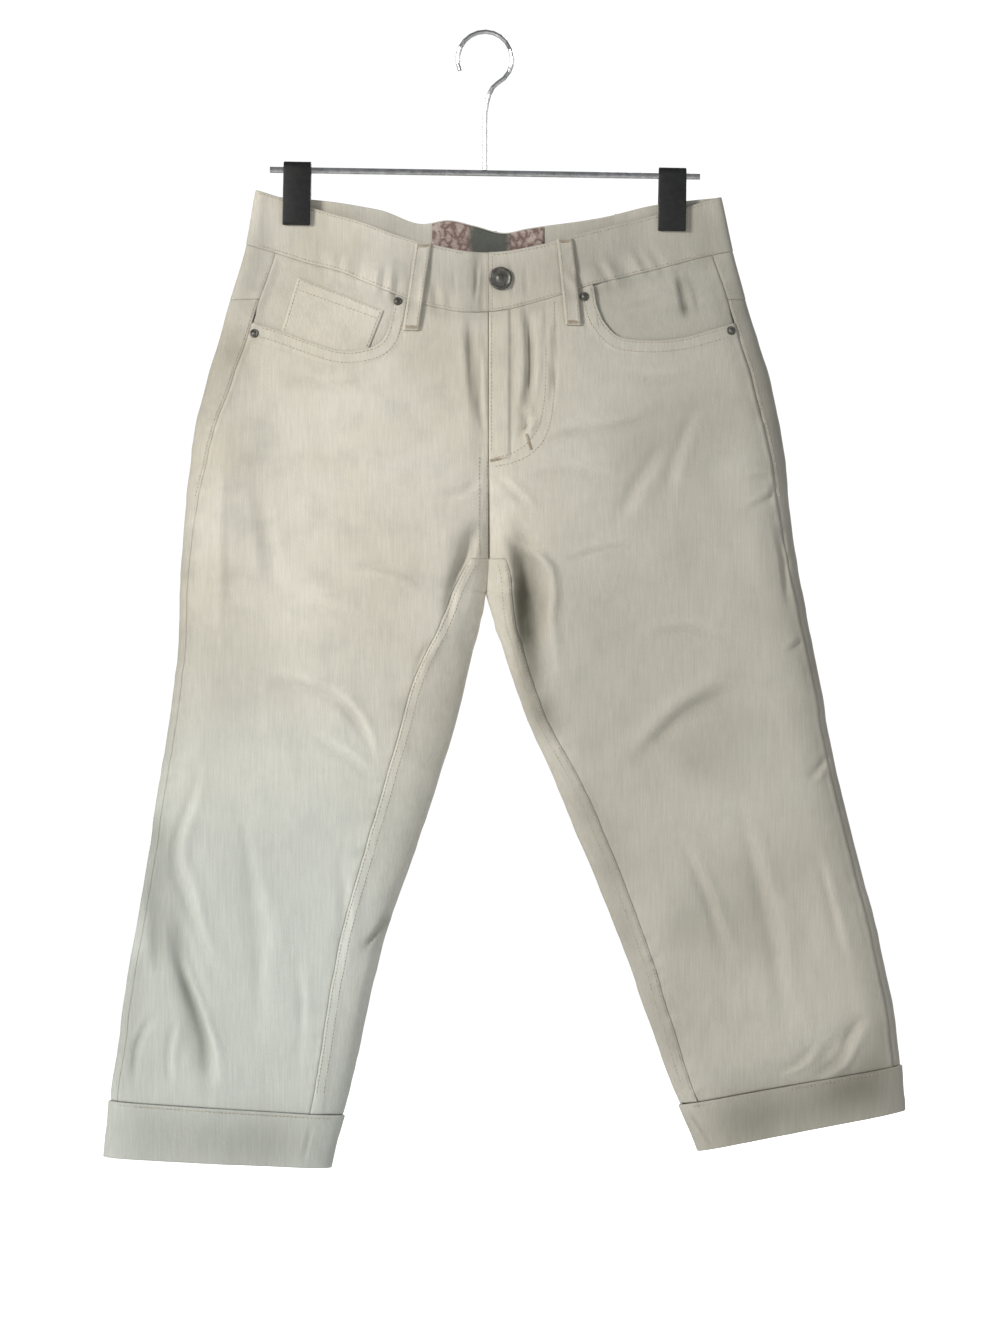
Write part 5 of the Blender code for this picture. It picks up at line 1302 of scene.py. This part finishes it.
def thread_finish():
    material, tree, shader = new_material("topstitch_thread")
    where = node(tree, "ShaderNodeTexCoord").outputs["Object"]
    shade = noise(tree, where, 260.0, 3.0)
    base = blended(tree, ranged(tree, shade, 0.3, 0.7), (0.42, 0.34, 0.25, 1.0), (0.60, 0.52, 0.41, 1.0))
    tree.links.new(base, shader.inputs["Base Color"])
    shader.inputs["Roughness"].default_value = 0.6
    shader.inputs["Sheen Weight"].default_value = 0.1
    twist = node(tree, "ShaderNodeTexWave", {"Vector": where, "Scale": 700.0, "Distortion": 1.0}).outputs["Fac"]
    bumped(tree, shader, twist, 0.0001, 0.4)
    return material


def label_finish():
    """A generic leaf print either side of a bare dark middle."""
    material, tree, shader = new_material("leaf_print")
    where = node(tree, "ShaderNodeTexCoord").outputs["Object"]
    split = node(tree, "ShaderNodeSeparateXYZ", {"Vector": where})
    bent = node(tree, "ShaderNodeVectorMath", {0: where, 1: gray_vector(tree, noise(tree, where, 60.0), 0.012)},
                operation="ADD").outputs["Vector"]
    leaves = node(tree, "ShaderNodeTexVoronoi", {"Vector": stretched(tree, bent, (1.0, 1.0, 0.55), (0.0, 0.6, 0.0)),
                                                 "Scale": 150.0}, feature="DISTANCE_TO_EDGE").outputs["Distance"]
    veins = node(tree, "ShaderNodeTexWave", {"Vector": stretched(tree, bent, (1.0, 1.0, 1.0), (0.0, 1.1, 0.0)),
                                             "Scale": 130.0, "Distortion": 6.0, "Detail": 3.0}).outputs["Fac"]
    ground = blended(tree, ranged(tree, leaves, 0.0, 0.22), (0.20, 0.125, 0.105, 1.0), (0.50, 0.40, 0.36, 1.0))
    ground = blended(tree, ranged(tree, veins, 0.5, 0.95, 0.0, 0.5), ground, (0.24, 0.14, 0.12, 1.0))
    pale = ranged(tree, noise(tree, where, 120.0, 3.0), 0.52, 0.66, 0.0, 0.6)
    ground = blended(tree, pale, ground, (0.66, 0.56, 0.50, 1.0))
    from_middle = maths(tree, "ABSOLUTE", maths(tree, "SUBTRACT", split.outputs["X"], 0.004), 0.0)
    frayed = maths(tree, "ADD", from_middle, maths(tree, "MULTIPLY", noise(tree, where, 90.0), 0.006))
    middle = ranged(tree, frayed, 0.023, 0.015)
    plain = blended(tree, noise(tree, where, 300.0, 3.0), (0.075, 0.080, 0.068, 1.0), (0.13, 0.135, 0.115, 1.0))
    tree.links.new(blended(tree, middle, ground, plain), shader.inputs["Base Color"])
    shader.inputs["Roughness"].default_value = 0.7
    shader.inputs["Sheen Weight"].default_value = 0.15
    weave = noise(tree, where, 1400.0, 2.0)
    bumped(tree, shader, weave, 0.0002, 0.4)
    return material


def gray_vector(tree, value, scale):
    small = maths(tree, "MULTIPLY", value, scale)
    return node(tree, "ShaderNodeCombineXYZ", {"X": small, "Y": small, "Z": small}).outputs["Vector"]


def metal(name, dark, light, roughness, metallic=1.0, grain=600.0):
    material, tree, shader = new_material(name)
    where = node(tree, "ShaderNodeTexCoord").outputs["Object"]
    worn = noise(tree, where, grain, 5.0)
    patches = noise(tree, where, 0.25 * grain, 3.0)
    base = blended(tree, ranged(tree, patches, 0.35, 0.68), dark, light)
    tree.links.new(base, shader.inputs["Base Color"])
    tree.links.new(ranged(tree, worn, 0.3, 0.7, 0.8 * roughness, 1.3 * roughness), shader.inputs["Roughness"])
    shader.inputs["Metallic"].default_value = metallic
    bumped(tree, shader, worn, 0.00012, 0.35)
    return material


TWILL = twill("washed_twill")
TRIM_TWILL = twill("washed_twill_doubled", 0.97)
POCKETING = twill("pocket_facing_twill", 0.92)
THREAD = thread_finish()
LEAF_PRINT = label_finish()
PEWTER = metal("antique_pewter", (0.10, 0.095, 0.085, 1.0), (0.22, 0.21, 0.19, 1.0), 0.45)
PEWTER_LIGHT = metal("pewter_worn_bright", (0.34, 0.33, 0.30, 1.0), (0.55, 0.53, 0.49, 1.0), 0.34)
STEEL = metal("plated_wire", (0.50, 0.50, 0.50, 1.0), (0.70, 0.70, 0.71, 1.0), 0.2)
CLIP_BLACK = metal("clip_black_plastic", (0.005, 0.005, 0.005, 1.0), (0.011, 0.011, 0.011, 1.0), 0.5, 0.0, 900.0)


# ---------------------------------------------------------------- stitching
STITCH_PITCH = 3.1
STITCH_LENGTH = 2.5
THREAD_THICK = 0.78


def spaced(line, pitch):
    """Points at an even pitch along a line, with the direction of its run."""
    step = np.hypot(*np.diff(line, axis=0).T)
    run = np.concatenate([[0.0], np.cumsum(step)])
    at = np.arange(0.5 * pitch, run[-1], pitch)
    x = np.interp(at, run, line[:, 0])
    drop = np.interp(at, run, line[:, 1])
    ahead = at + 0.4
    return x, drop, np.interp(ahead, run, line[:, 0]), np.interp(ahead, run, line[:, 1])


def stitch_tree():
    """Geometry Nodes: a short thread laid at each point along its own direction."""
    tree = bpy.data.node_groups.new("rows_of_stitches", "GeometryNodeTree")
    face = tree.interface
    face.new_socket("Geometry", in_out="INPUT", socket_type="NodeSocketGeometry")
    length = face.new_socket("Stitch length", in_out="INPUT", socket_type="NodeSocketFloat")
    thick = face.new_socket("Thread thickness", in_out="INPUT", socket_type="NodeSocketFloat")
    uneven = face.new_socket("Unevenness", in_out="INPUT", socket_type="NodeSocketFloat")
    finish = face.new_socket("Thread", in_out="INPUT", socket_type="NodeSocketMaterial")
    face.new_socket("Geometry", in_out="OUTPUT", socket_type="NodeSocketGeometry")
    nodes = tree.nodes
    link = tree.links.new
    given = nodes.new("NodeGroupInput")
    result = nodes.new("NodeGroupOutput")
    bead = nodes.new("GeometryNodeMeshUVSphere")
    bead.inputs["Segments"].default_value = 6
    bead.inputs["Rings"].default_value = 4
    bead.inputs["Radius"].default_value = 0.5
    size = nodes.new("ShaderNodeCombineXYZ")
    link(given.outputs["Stitch length"], size.inputs["X"])
    link(given.outputs["Thread thickness"], size.inputs["Y"])
    link(given.outputs["Thread thickness"], size.inputs["Z"])
    shaped = nodes.new("GeometryNodeTransform")
    link(bead.outputs["Mesh"], shaped.inputs["Geometry"])
    link(size.outputs["Vector"], shaped.inputs["Scale"])
    along = nodes.new("GeometryNodeInputNamedAttribute")
    along.data_type = "FLOAT_VECTOR"
    along.inputs["Name"].default_value = "along"
    up = nodes.new("GeometryNodeInputNamedAttribute")
    up.data_type = "FLOAT_VECTOR"
    up.inputs["Name"].default_value = "up"
    turn = nodes.new("FunctionNodeAxesToRotation")
    turn.primary_axis = "Z"
    turn.secondary_axis = "X"
    link(up.outputs["Attribute"], turn.inputs["Primary Axis"])
    link(along.outputs["Attribute"], turn.inputs["Secondary Axis"])
    low = nodes.new("ShaderNodeMath")
    low.operation = "SUBTRACT"
    low.inputs[0].default_value = 1.0
    link(given.outputs["Unevenness"], low.inputs[1])
    chance = nodes.new("FunctionNodeRandomValue")
    chance.data_type = "FLOAT"
    chance.inputs["Seed"].default_value = 5
    link(low.outputs[0], chance.inputs[2])
    chance.inputs[3].default_value = 1.05
    laid = nodes.new("GeometryNodeInstanceOnPoints")
    link(given.outputs["Geometry"], laid.inputs["Points"])
    link(shaped.outputs["Geometry"], laid.inputs["Instance"])
    link(turn.outputs["Rotation"], laid.inputs["Rotation"])
    link(chance.outputs[1], laid.inputs["Scale"])
    real = nodes.new("GeometryNodeRealizeInstances")
    link(laid.outputs["Instances"], real.inputs["Geometry"])
    paint = nodes.new("GeometryNodeSetMaterial")
    link(real.outputs["Geometry"], paint.inputs["Geometry"])
    link(given.outputs["Thread"], paint.inputs["Material"])
    link(paint.outputs["Geometry"], result.inputs["Geometry"])
    return tree, {"length": length.identifier, "thick": thick.identifier, "uneven": uneven.identifier,
                  "finish": finish.identifier}


STITCH_TREE, STITCH_INPUTS = stitch_tree()


def sew(name, rows, length=STITCH_LENGTH, thick=THREAD_THICK):
    """Lay stitches along rows of (points, directions along, directions up)."""
    points = np.concatenate([row[0] for row in rows])
    along = np.concatenate([row[1] for row in rows])
    up = np.concatenate([row[2] for row in rows])
    mesh = bpy.data.meshes.new(name + "_places")
    mesh.from_pydata((points * MM).tolist(), [], [])
    for label, values in (("along", along), ("up", up)):
        attribute = mesh.attributes.new(label, "FLOAT_VECTOR", "POINT")
        attribute.data.foreach_set("vector", values.astype(np.float32).ravel())
    places = bpy.data.objects.new(name + "_places", mesh)
    bpy.context.scene.collection.objects.link(places)
    modifier = places.modifiers.new("stitches", "NODES")
    modifier.node_group = STITCH_TREE
    modifier[STITCH_INPUTS["length"]] = length * MM
    modifier[STITCH_INPUTS["thick"]] = thick * MM
    modifier[STITCH_INPUTS["uneven"]] = 0.14
    modifier[STITCH_INPUTS["finish"]] = THREAD
    graph = bpy.context.evaluated_depsgraph_get()
    graph.update()
    threads = bpy.data.meshes.new_from_object(places.evaluated_get(graph))
    threads.name = name
    bpy.data.objects.remove(places, do_unlink=True)
    bpy.data.meshes.remove(mesh)
    return placed(name, threads, THREAD)


def stitch_row(face, line, lift, pitch=STITCH_PITCH, lift_at=None):
    """Stitches along a line of (x, drop) on the front or back."""
    x, drop, next_x, next_drop = spaced(np.array(line, float), pitch)
    extra = lift_at(x, drop) if lift_at else np.zeros(x.shape)
    points, up = on_face(face, x, drop, lift + extra)
    ahead, _ = on_face(face, next_x, next_drop, lift + extra)
    along = ahead - points
    along /= np.linalg.norm(along, axis=1)[:, None] + 1e-12
    return points, along, up


def between(line, low, high):
    """The part of a line whose drop lies between two drops."""
    return line[(line[:, 1] >= low) & (line[:, 1] <= high)]


def bar_tack(face, x0, drop0, x1, drop1, lift, thick_rows=2):
    """A dense bar of short stitches across a line."""
    line = np.array(((x0, drop0), (x1, drop1)))
    rows = []
    for k in range(thick_rows):
        moved = beside(line, 0.5 * (k - 0.5 * (thick_rows - 1)))
        x, drop, next_x, next_drop = spaced(moved, 0.75)
        points, up = on_face(face, x, drop, lift + np.zeros(x.shape))
        ahead, _ = on_face(face, next_x, next_drop, lift + np.zeros(x.shape))
        forward = ahead - points
        forward /= np.linalg.norm(forward, axis=1)[:, None] + 1e-12
        rows.append((points, np.cross(up, forward), up))
    return rows


# ---------------------------------------------------------------- metal trim
def lathe(name, profile, sides, place, normal, finish, middle, replaced):
    """A round piece from (radius, height) rows, its axis along the normal, its middle in a second finish."""
    work = bmesh.new()
    rings = []
    for radius, height in profile:
        ring = []
        for i in range(sides):
            angle = 2.0 * PI * i / sides
            ring.append(work.verts.new((radius * math.cos(angle), radius * math.sin(angle), height)))
        rings.append(ring)
    for level, (lower, upper) in enumerate(zip(rings, rings[1:])):
        for i in range(sides):
            after = (i + 1) % sides
            side = work.faces.new((lower[i], lower[after], upper[after], upper[i]))
            side.material_index = int(level >= len(rings) - 4)
    work.faces.new(rings[0][::-1])
    work.faces.new(rings[-1]).material_index = 1
    bmesh.ops.recalc_face_normals(work, faces=work.faces)
    mesh = bpy.data.meshes.new(name)
    work.to_mesh(mesh)
    work.free()
    turn = Vector(normal).to_track_quat("Z", "Y").to_matrix().to_4x4()
    mesh.transform(Matrix.Translation(Vector(place) * MM) @ turn @ Matrix.Scale(MM, 4))
    piece = placed(name, mesh, finish, replaced)
    mesh.materials.append(middle)
    mesh.set_sharp_from_angle(angle=math.radians(50.0))
    return piece


BUTTON_AT = (12.4, 72.0)
BUTTON_PROFILE = ((5.0, 0.0), (8.2, 0.5), (8.9, 1.1), (9.2, 1.9), (9.05, 2.6), (8.6, 3.0), (8.0, 3.1),
                  (7.4, 2.95), (6.9, 2.6), (6.0, 2.4), (4.6, 2.3), (3.3, 2.3), (2.9, 2.5), (2.5, 2.85),
                  (1.7, 3.1), (0.5, 3.2))
RIVET_PROFILE = ((3.2, 0.0), (3.5, 0.25), (3.5, 0.65), (3.15, 0.95), (2.6, 1.0), (2.1, 0.8), (1.7, 0.85),
                 (1.3, 1.25), (0.7, 1.42), (0.2, 1.45))
RIVETS = {"rivet_front_right_inner": (-69.4, 90.4), "rivet_front_right_side": (-183.6, 116.0),
          "rivet_front_left_inner": (79.2, 86.6), "rivet_front_left_side": (196.0, 113.5)}


def fasten(name, at, profile, sides, finish, sink):
    points, normals = on_face("front", np.array([at[0]]), np.array([at[1]]), np.zeros(1))
    place = points[0] + normals[0] * (SEAM_GAP + sink)
    return lathe(name + "_cap", profile, sides, place, normals[0], PEWTER, finish, (name,))


def bevelled(name, finish, width, segments):
    """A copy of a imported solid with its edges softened."""
    work = bmesh.new()
    work.from_mesh(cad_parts[name].data)
    bmesh.ops.remove_doubles(work, verts=work.verts, dist=1e-6)
    bmesh.ops.dissolve_limit(work, angle_limit=math.radians(1.0), verts=work.verts, edges=work.edges)
    sharp = [edge for edge in work.edges if edge.calc_face_angle(0.0) > math.radians(28.0)]
    bmesh.ops.bevel(work, geom=sharp, offset=width * MM, segments=segments, affect="EDGES", profile=0.5,
                    clamp_overlap=True)
    bmesh.ops.recalc_face_normals(work, faces=work.faces)
    mesh = bpy.data.meshes.new(name + "_soft")
    work.to_mesh(mesh)
    work.free()
    piece = placed(name + "_soft", mesh, finish, (name,))
    mesh.set_sharp_from_angle(angle=math.radians(40.0))
    return piece


# ---------------------------------------------------------------- make the garment
for leg in ("right", "left"):
    shell("front_" + leg + "_cloth", front_panel(leg), CLOTH, TWILL,
                                   ("front_" + leg,))
    shell("back_" + leg + "_cloth", back_panel(leg), CLOTH, TWILL,
                                  ("back_" + leg,))
    shell("yoke_" + leg + "_cloth", yoke(leg), CLOTH, TWILL, ("yoke_" + leg,))
    shell("waistband_" + leg + "_cloth", waistband(leg), BAND_CLOTH, TRIM_TWILL,
                                       ("waistband_" + leg,))
    shell("pocket_facing_" + leg + "_cloth", pocket_facing(leg), FACING_CLOTH,
                                    POCKETING, ("pocket_facing_" + leg,))
    shell("cuff_" + leg + "_cloth", cuff(leg), CUFF_CLOTH, TRIM_TWILL,
                                  ("cuff_" + leg,))
coin_u = np.concatenate([(0.0, 0.015, 0.04), np.linspace(0.08, 0.92, 24), (0.96, 0.985, 1.0)])
shell("coin_pocket_cloth", patch(COIN_CORNERS, coin_u, coin_u, "front", coin_lift), COIN_CLOTH,
                       TWILL, ("coin_pocket",))
for row in LOOPS:
    shell(row[0] + "_cloth", belt_loop(*row), LOOP_CLOTH, TRIM_TWILL, (row[0],))
shell("waist_label_cloth", waist_label(), 0.6, LEAF_PRINT, ("waist_label",))

# ---------------------------------------------------------------- topstitching
SUNK = 0.05
BAND_TOP_LIFT = BAND_PROUD + 0.25


def band_rows(face, edge, width_down, from_x, to_x, lift):
    x = np.arange(from_x, to_x, 4.0)
    rows = []
    for down in width_down:
        rows.append(stitch_row(face, np.stack([x, edge(x) + down], 1), lift))
    return rows


def front_stitches():
    rows = []
    for leg in ("right", "left"):
        inward = -OUTWARD[leg]

        def lift_at(x, drop, leg=leg):
            return front_lift(leg, x, drop)
        for distance in (2.0, 9.3):
            line = beside(MOUTH[leg], distance * OUTWARD[leg])
            line = line[line[:, 1] > 70.0]
            rows.append(stitch_row("front", line[2:-1], SUNK, lift_at=lift_at))
        drops = np.arange(214.0, 292.0, 4.0)
        if leg == "right":
            for away in (1.6, 7.6):
                rows.append(stitch_row("front", np.stack([CENTRE_X + inward * -away + 0.0 * drops, drops], 1), SUNK))
        for away in (1.8, 7.4):
            down = np.arange(300.0, 726.0, 6.0)
            x = inseam_x(leg, down) + inward * away
            keep = np.abs(x - inner_edge(leg, down)) > 4.0
            rows.append(stitch_row("front", np.stack([x, down], 1)[keep], 0.5 + SUNK))
        down = np.arange(60.0, 250.0, 6.0)
        rows.append(stitch_row("front", np.stack([side_x(leg, down) + OUTWARD[leg] * 2.2, down], 1), SUNK))

    def fly_lift(x, drop):
        return front_lift("left", x, drop)
    inner_j = rounded(((48, 91), (48.5, 126), (47.5, 165), (43, 189), (33, 204), (20, 212), (8, 215)), 8)
    outer_j = rounded(((55, 90), (55.5, 126), (54.5, 168), (49.5, 195), (38, 211), (22, 219), (8, 222)), 8)
    rows += [stitch_row("front", inner_j, SUNK, lift_at=fly_lift), stitch_row("front", outer_j, SUNK, lift_at=fly_lift)]
    edge = np.stack([np.full(30, CENTRE_X + 2.0), np.linspace(101.0, 210.0, 30)], 1)
    rows.append(stitch_row("front", edge, SUNK, lift_at=fly_lift))
    rows += bar_tack("front", 4.0, 217.5, 18.0, 214.0, 0.3)
    rows += bar_tack("front", 33.0, 196.0, 37.0, 209.0, 0.25)
    return rows


def band_stitches():
    rows = []
    top = EDGE["front_top"]
    seam = EDGE["front_seam"]
    back = EDGE["back_top"]
    for from_x, to_x in ((-181.0, -16.0), (6.0, 186.0)):
        rows += band_rows("front", top, (2.2,), from_x, to_x, BAND_TOP_LIFT)
        rows += band_rows("front", seam, (-2.2,), from_x, to_x, BAND_TOP_LIFT)
    rows += band_rows("back", back, (2.2, BAND_WIDTH - 2.4), -180.0, 184.0, BAND_TOP_LIFT)
    end = np.stack([np.full(20, CENTRE_X + 2.4), np.linspace(53.5, 96.0, 20)], 1)
    rows.append(stitch_row("front", end, BAND_TOP_LIFT))
    return rows


def back_stitches():
    rows = []
    for leg in ("right", "left"):
        share = np.linspace(0.02, 0.99, 60)
        for away in (2.0, 7.6):
            drop = yoke_drop(share) + away
            rows.append(stitch_row("back", np.stack([mix(outer_edge(leg, drop), CENTRE_X, share), drop], 1), SUNK))
    down = np.arange(84.0, 306.0, 4.0)
    for away in (1.8, 7.4):
        rows.append(stitch_row("back", np.stack([CENTRE_X + away + 0.0 * down, down], 1),
                               SUNK + 0.25 * (away < 0.0)))
    return rows


def cuff_stitches():
    rows = []
    for leg in ("right", "left"):
        top_outer, top_inner = CUFFS[leg][:2]
        for face in ("front", "back"):
            share = np.linspace(0.05, 0.95, 50)
            drop = mix(top_outer, top_inner, share) + 2.4
            x = mix(outer_edge(leg, drop), inner_edge(leg, drop), share)
            turn = turn_of_share(share)
            if face == "back":
                turn = 2.0 * PI - turn
            step = np.hypot(np.diff(x), np.diff(drop))
            run = np.concatenate([[0.0], np.cumsum(step)])
            at = np.arange(0.0, run[-1], STITCH_PITCH)
            turns = np.interp(at, run, turn)
            drops = np.interp(at, run, drop)
            normals = outward(leg, turns, drops, face)
            points = surface(leg, turns, drops) + normals * (CUFF_PROUD + 0.1)
            along = np.gradient(points, axis=0)
            along /= np.linalg.norm(along, axis=1)[:, None]
            rows.append((points, along, normals))
    return rows


def loop_stitches():
    rows = []
    for name, face, x_top, x_foot, foot in LOOPS:
        corners = np.array(loop_corners(face, x_top, x_foot, foot))
        for u in (0.16, 0.84):
            v = np.linspace(0.05, 0.95, 18)
            start = mix(corners[0], corners[1], u)
            end = mix(corners[2], corners[3], u)
            line = mix(start[None], end[None], v[:, None])
            x, drop, next_x, next_drop = spaced(line, STITCH_PITCH)
            part = (drop - start[1]) / (end[1] - start[1])
            lift = loop_lift(np.full(part.shape, u), part) - 0.05
            points, up = on_face(face, x, drop, lift)
            ahead, _ = on_face(face, next_x, next_drop, lift)
            along = ahead - points
            along /= np.linalg.norm(along, axis=1)[:, None]
            rows.append((points, along, up))
        for v in (0.035, 0.965):
            left = mix(corners[0], corners[2], v)
            right = mix(corners[1], corners[3], v)
            rows += bar_tack(face, left[0] + 1.5, left[1], right[0] - 1.5, right[1], LOOP_LIFT + 0.2)
    return rows


def coin_stitches():
    rows = []
    corners = np.array(COIN_CORNERS)
    for inset in (0.03,):
        top = mix(mix(corners[0], corners[1], inset), mix(corners[2], corners[3], inset), inset)
        top_end = mix(mix(corners[0], corners[1], 1 - inset), mix(corners[2], corners[3], 1 - inset), inset)
        low = mix(mix(corners[0], corners[1], inset), mix(corners[2], corners[3], inset), 0.97)
        low_end = mix(mix(corners[0], corners[1], 1 - inset), mix(corners[2], corners[3], 1 - inset), 0.97)
        for start, end in ((top, top_end), (top, low), (top_end, low_end)):
            line = np.array([mix(start, end, t) for t in np.linspace(0.0, 1.0, 20)])
            covered = top_of("right", line[:, 0]) - 1.0
            line = line[line[:, 1] < covered]
            rows.append(stitch_row("front", line, 0.05, lift_at=coin_lift))
    down = 0.18
    start = mix(corners[0], corners[2], down)
    end = mix(corners[1], corners[3], down)
    rows.append(stitch_row("front", np.array([mix(start, end, t) for t in np.linspace(0.04, 0.96, 20)]), 0.05,
                           lift_at=coin_lift))
    return rows


sew("stitches_front", front_stitches())
sew("stitches_waistband", band_stitches())
sew("stitches_back", back_stitches())
sew("stitches_cuffs", cuff_stitches())
sew("stitches_loops", loop_stitches())
sew("stitches_coin_pocket", coin_stitches())

# ---------------------------------------------------------------- metal and the hanger
fasten("waist_button", BUTTON_AT, BUTTON_PROFILE, 48, PEWTER, BAND_PROUD + 0.35)
for rivet_name, rivet_at in RIVETS.items():
    fasten(rivet_name, rivet_at, RIVET_PROFILE, 28, PEWTER_LIGHT, 0.45)
for clip_name in ("clip_right", "clip_left"):
    bevelled(clip_name, CLIP_BLACK, 0.7, 3)
for wire in ("hanger_bar", "hanger_hook"):
    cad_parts[wire].data.materials.clear()
    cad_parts[wire].data.materials.append(STEEL)

# ---------------------------------------------------------------- stage, light and camera
MIDDLE = Vector((12.0, 0.0, -506.0)) * MM
VIEW_HEIGHT = 1.0664
CAMERA_AWAY = 3.2
FLOOR_Z = -1.16


def pale_floor():
    """A wide, plain, pale floor; what the camera sees of it is brightened, and its light on the cloth isn't."""
    reach = 14.0
    mesh = bpy.data.meshes.new("pale_floor")
    mesh.from_pydata([(x, y, FLOOR_Z) for x, y in ((-reach, -reach), (reach, -reach), (reach, reach), (-reach, reach))],
                     [], [(0, 1, 2, 3)])
    material, tree, shader = new_material("pale_paper")
    where = node(tree, "ShaderNodeTexCoord").outputs["Object"]
    paper = blended(tree, noise(tree, where, 3.0), (0.86, 0.86, 0.86, 1.0), (0.90, 0.90, 0.90, 1.0))
    tree.links.new(paper, shader.inputs["Base Color"])
    seen = node(tree, "ShaderNodeLightPath").outputs["Is Camera Ray"]
    tree.links.new(gray_of(tree, seen), shader.inputs["Emission Color"])
    shader.inputs["Emission Strength"].default_value = 0.85
    shader.inputs["Roughness"].default_value = 0.9
    mesh.materials.append(material)
    floor = bpy.data.objects.new("pale_floor", mesh)
    bpy.context.scene.collection.objects.link(floor)


def area_light(name, place, size, power, colour=(1.0, 1.0, 1.0)):
    data = bpy.data.lights.new(name, "AREA")
    data.shape = "DISK"
    data.size = size
    data.energy = power
    data.color = colour
    light = bpy.data.objects.new(name, data)
    light.location = place
    light.rotation_mode = "QUATERNION"
    light.rotation_quaternion = (MIDDLE - Vector(place)).to_track_quat("-Z", "Y")
    bpy.context.scene.collection.objects.link(light)


def studio_world():
    """Soft light from all round, and a white background."""
    world = bpy.data.worlds.new("studio")
    world.use_nodes = True
    tree = world.node_tree
    soft = tree.nodes["Background"]
    soft.inputs["Color"].default_value = (0.95, 0.97, 1.0, 1.0)
    soft.inputs["Strength"].default_value = 0.25
    white = node(tree, "ShaderNodeBackground", {"Color": (1.0, 1.0, 1.0, 1.0), "Strength": 1.05})
    seen = node(tree, "ShaderNodeLightPath").outputs["Is Camera Ray"]
    chosen = node(tree, "ShaderNodeMixShader", {0: seen, 1: soft.outputs[0], 2: white.outputs[0]})
    tree.links.new(chosen.outputs[0], tree.nodes["World Output"].inputs["Surface"])
    return world


pale_floor()
area_light("key", (-2.15, -2.05, 0.5), 0.7, 63.0, (1.0, 0.985, 0.955))
area_light("fill", (1.6, -2.6, 0.1), 1.6, 10.0, (0.95, 0.98, 1.0))
area_light("behind", (1.2, 2.8, 0.6), 2.2, 45.0, (1.0, 0.99, 0.97))
world = studio_world()
bpy.context.scene.world = world
bpy.context.scene.view_settings.view_transform = "Standard"

lens = bpy.data.cameras.new("camera")
lens.sensor_width = 36.0
lens.lens = lens.sensor_width * CAMERA_AWAY / VIEW_HEIGHT
camera = bpy.data.objects.new("camera", lens)
camera.location = MIDDLE + Vector((0.0, -CAMERA_AWAY, 0.0))
camera.rotation_euler = (0.5 * PI, 0.0, 0.0)
bpy.context.scene.collection.objects.link(camera)
bpy.context.scene.camera = camera

bpy.context.view_layer.update()
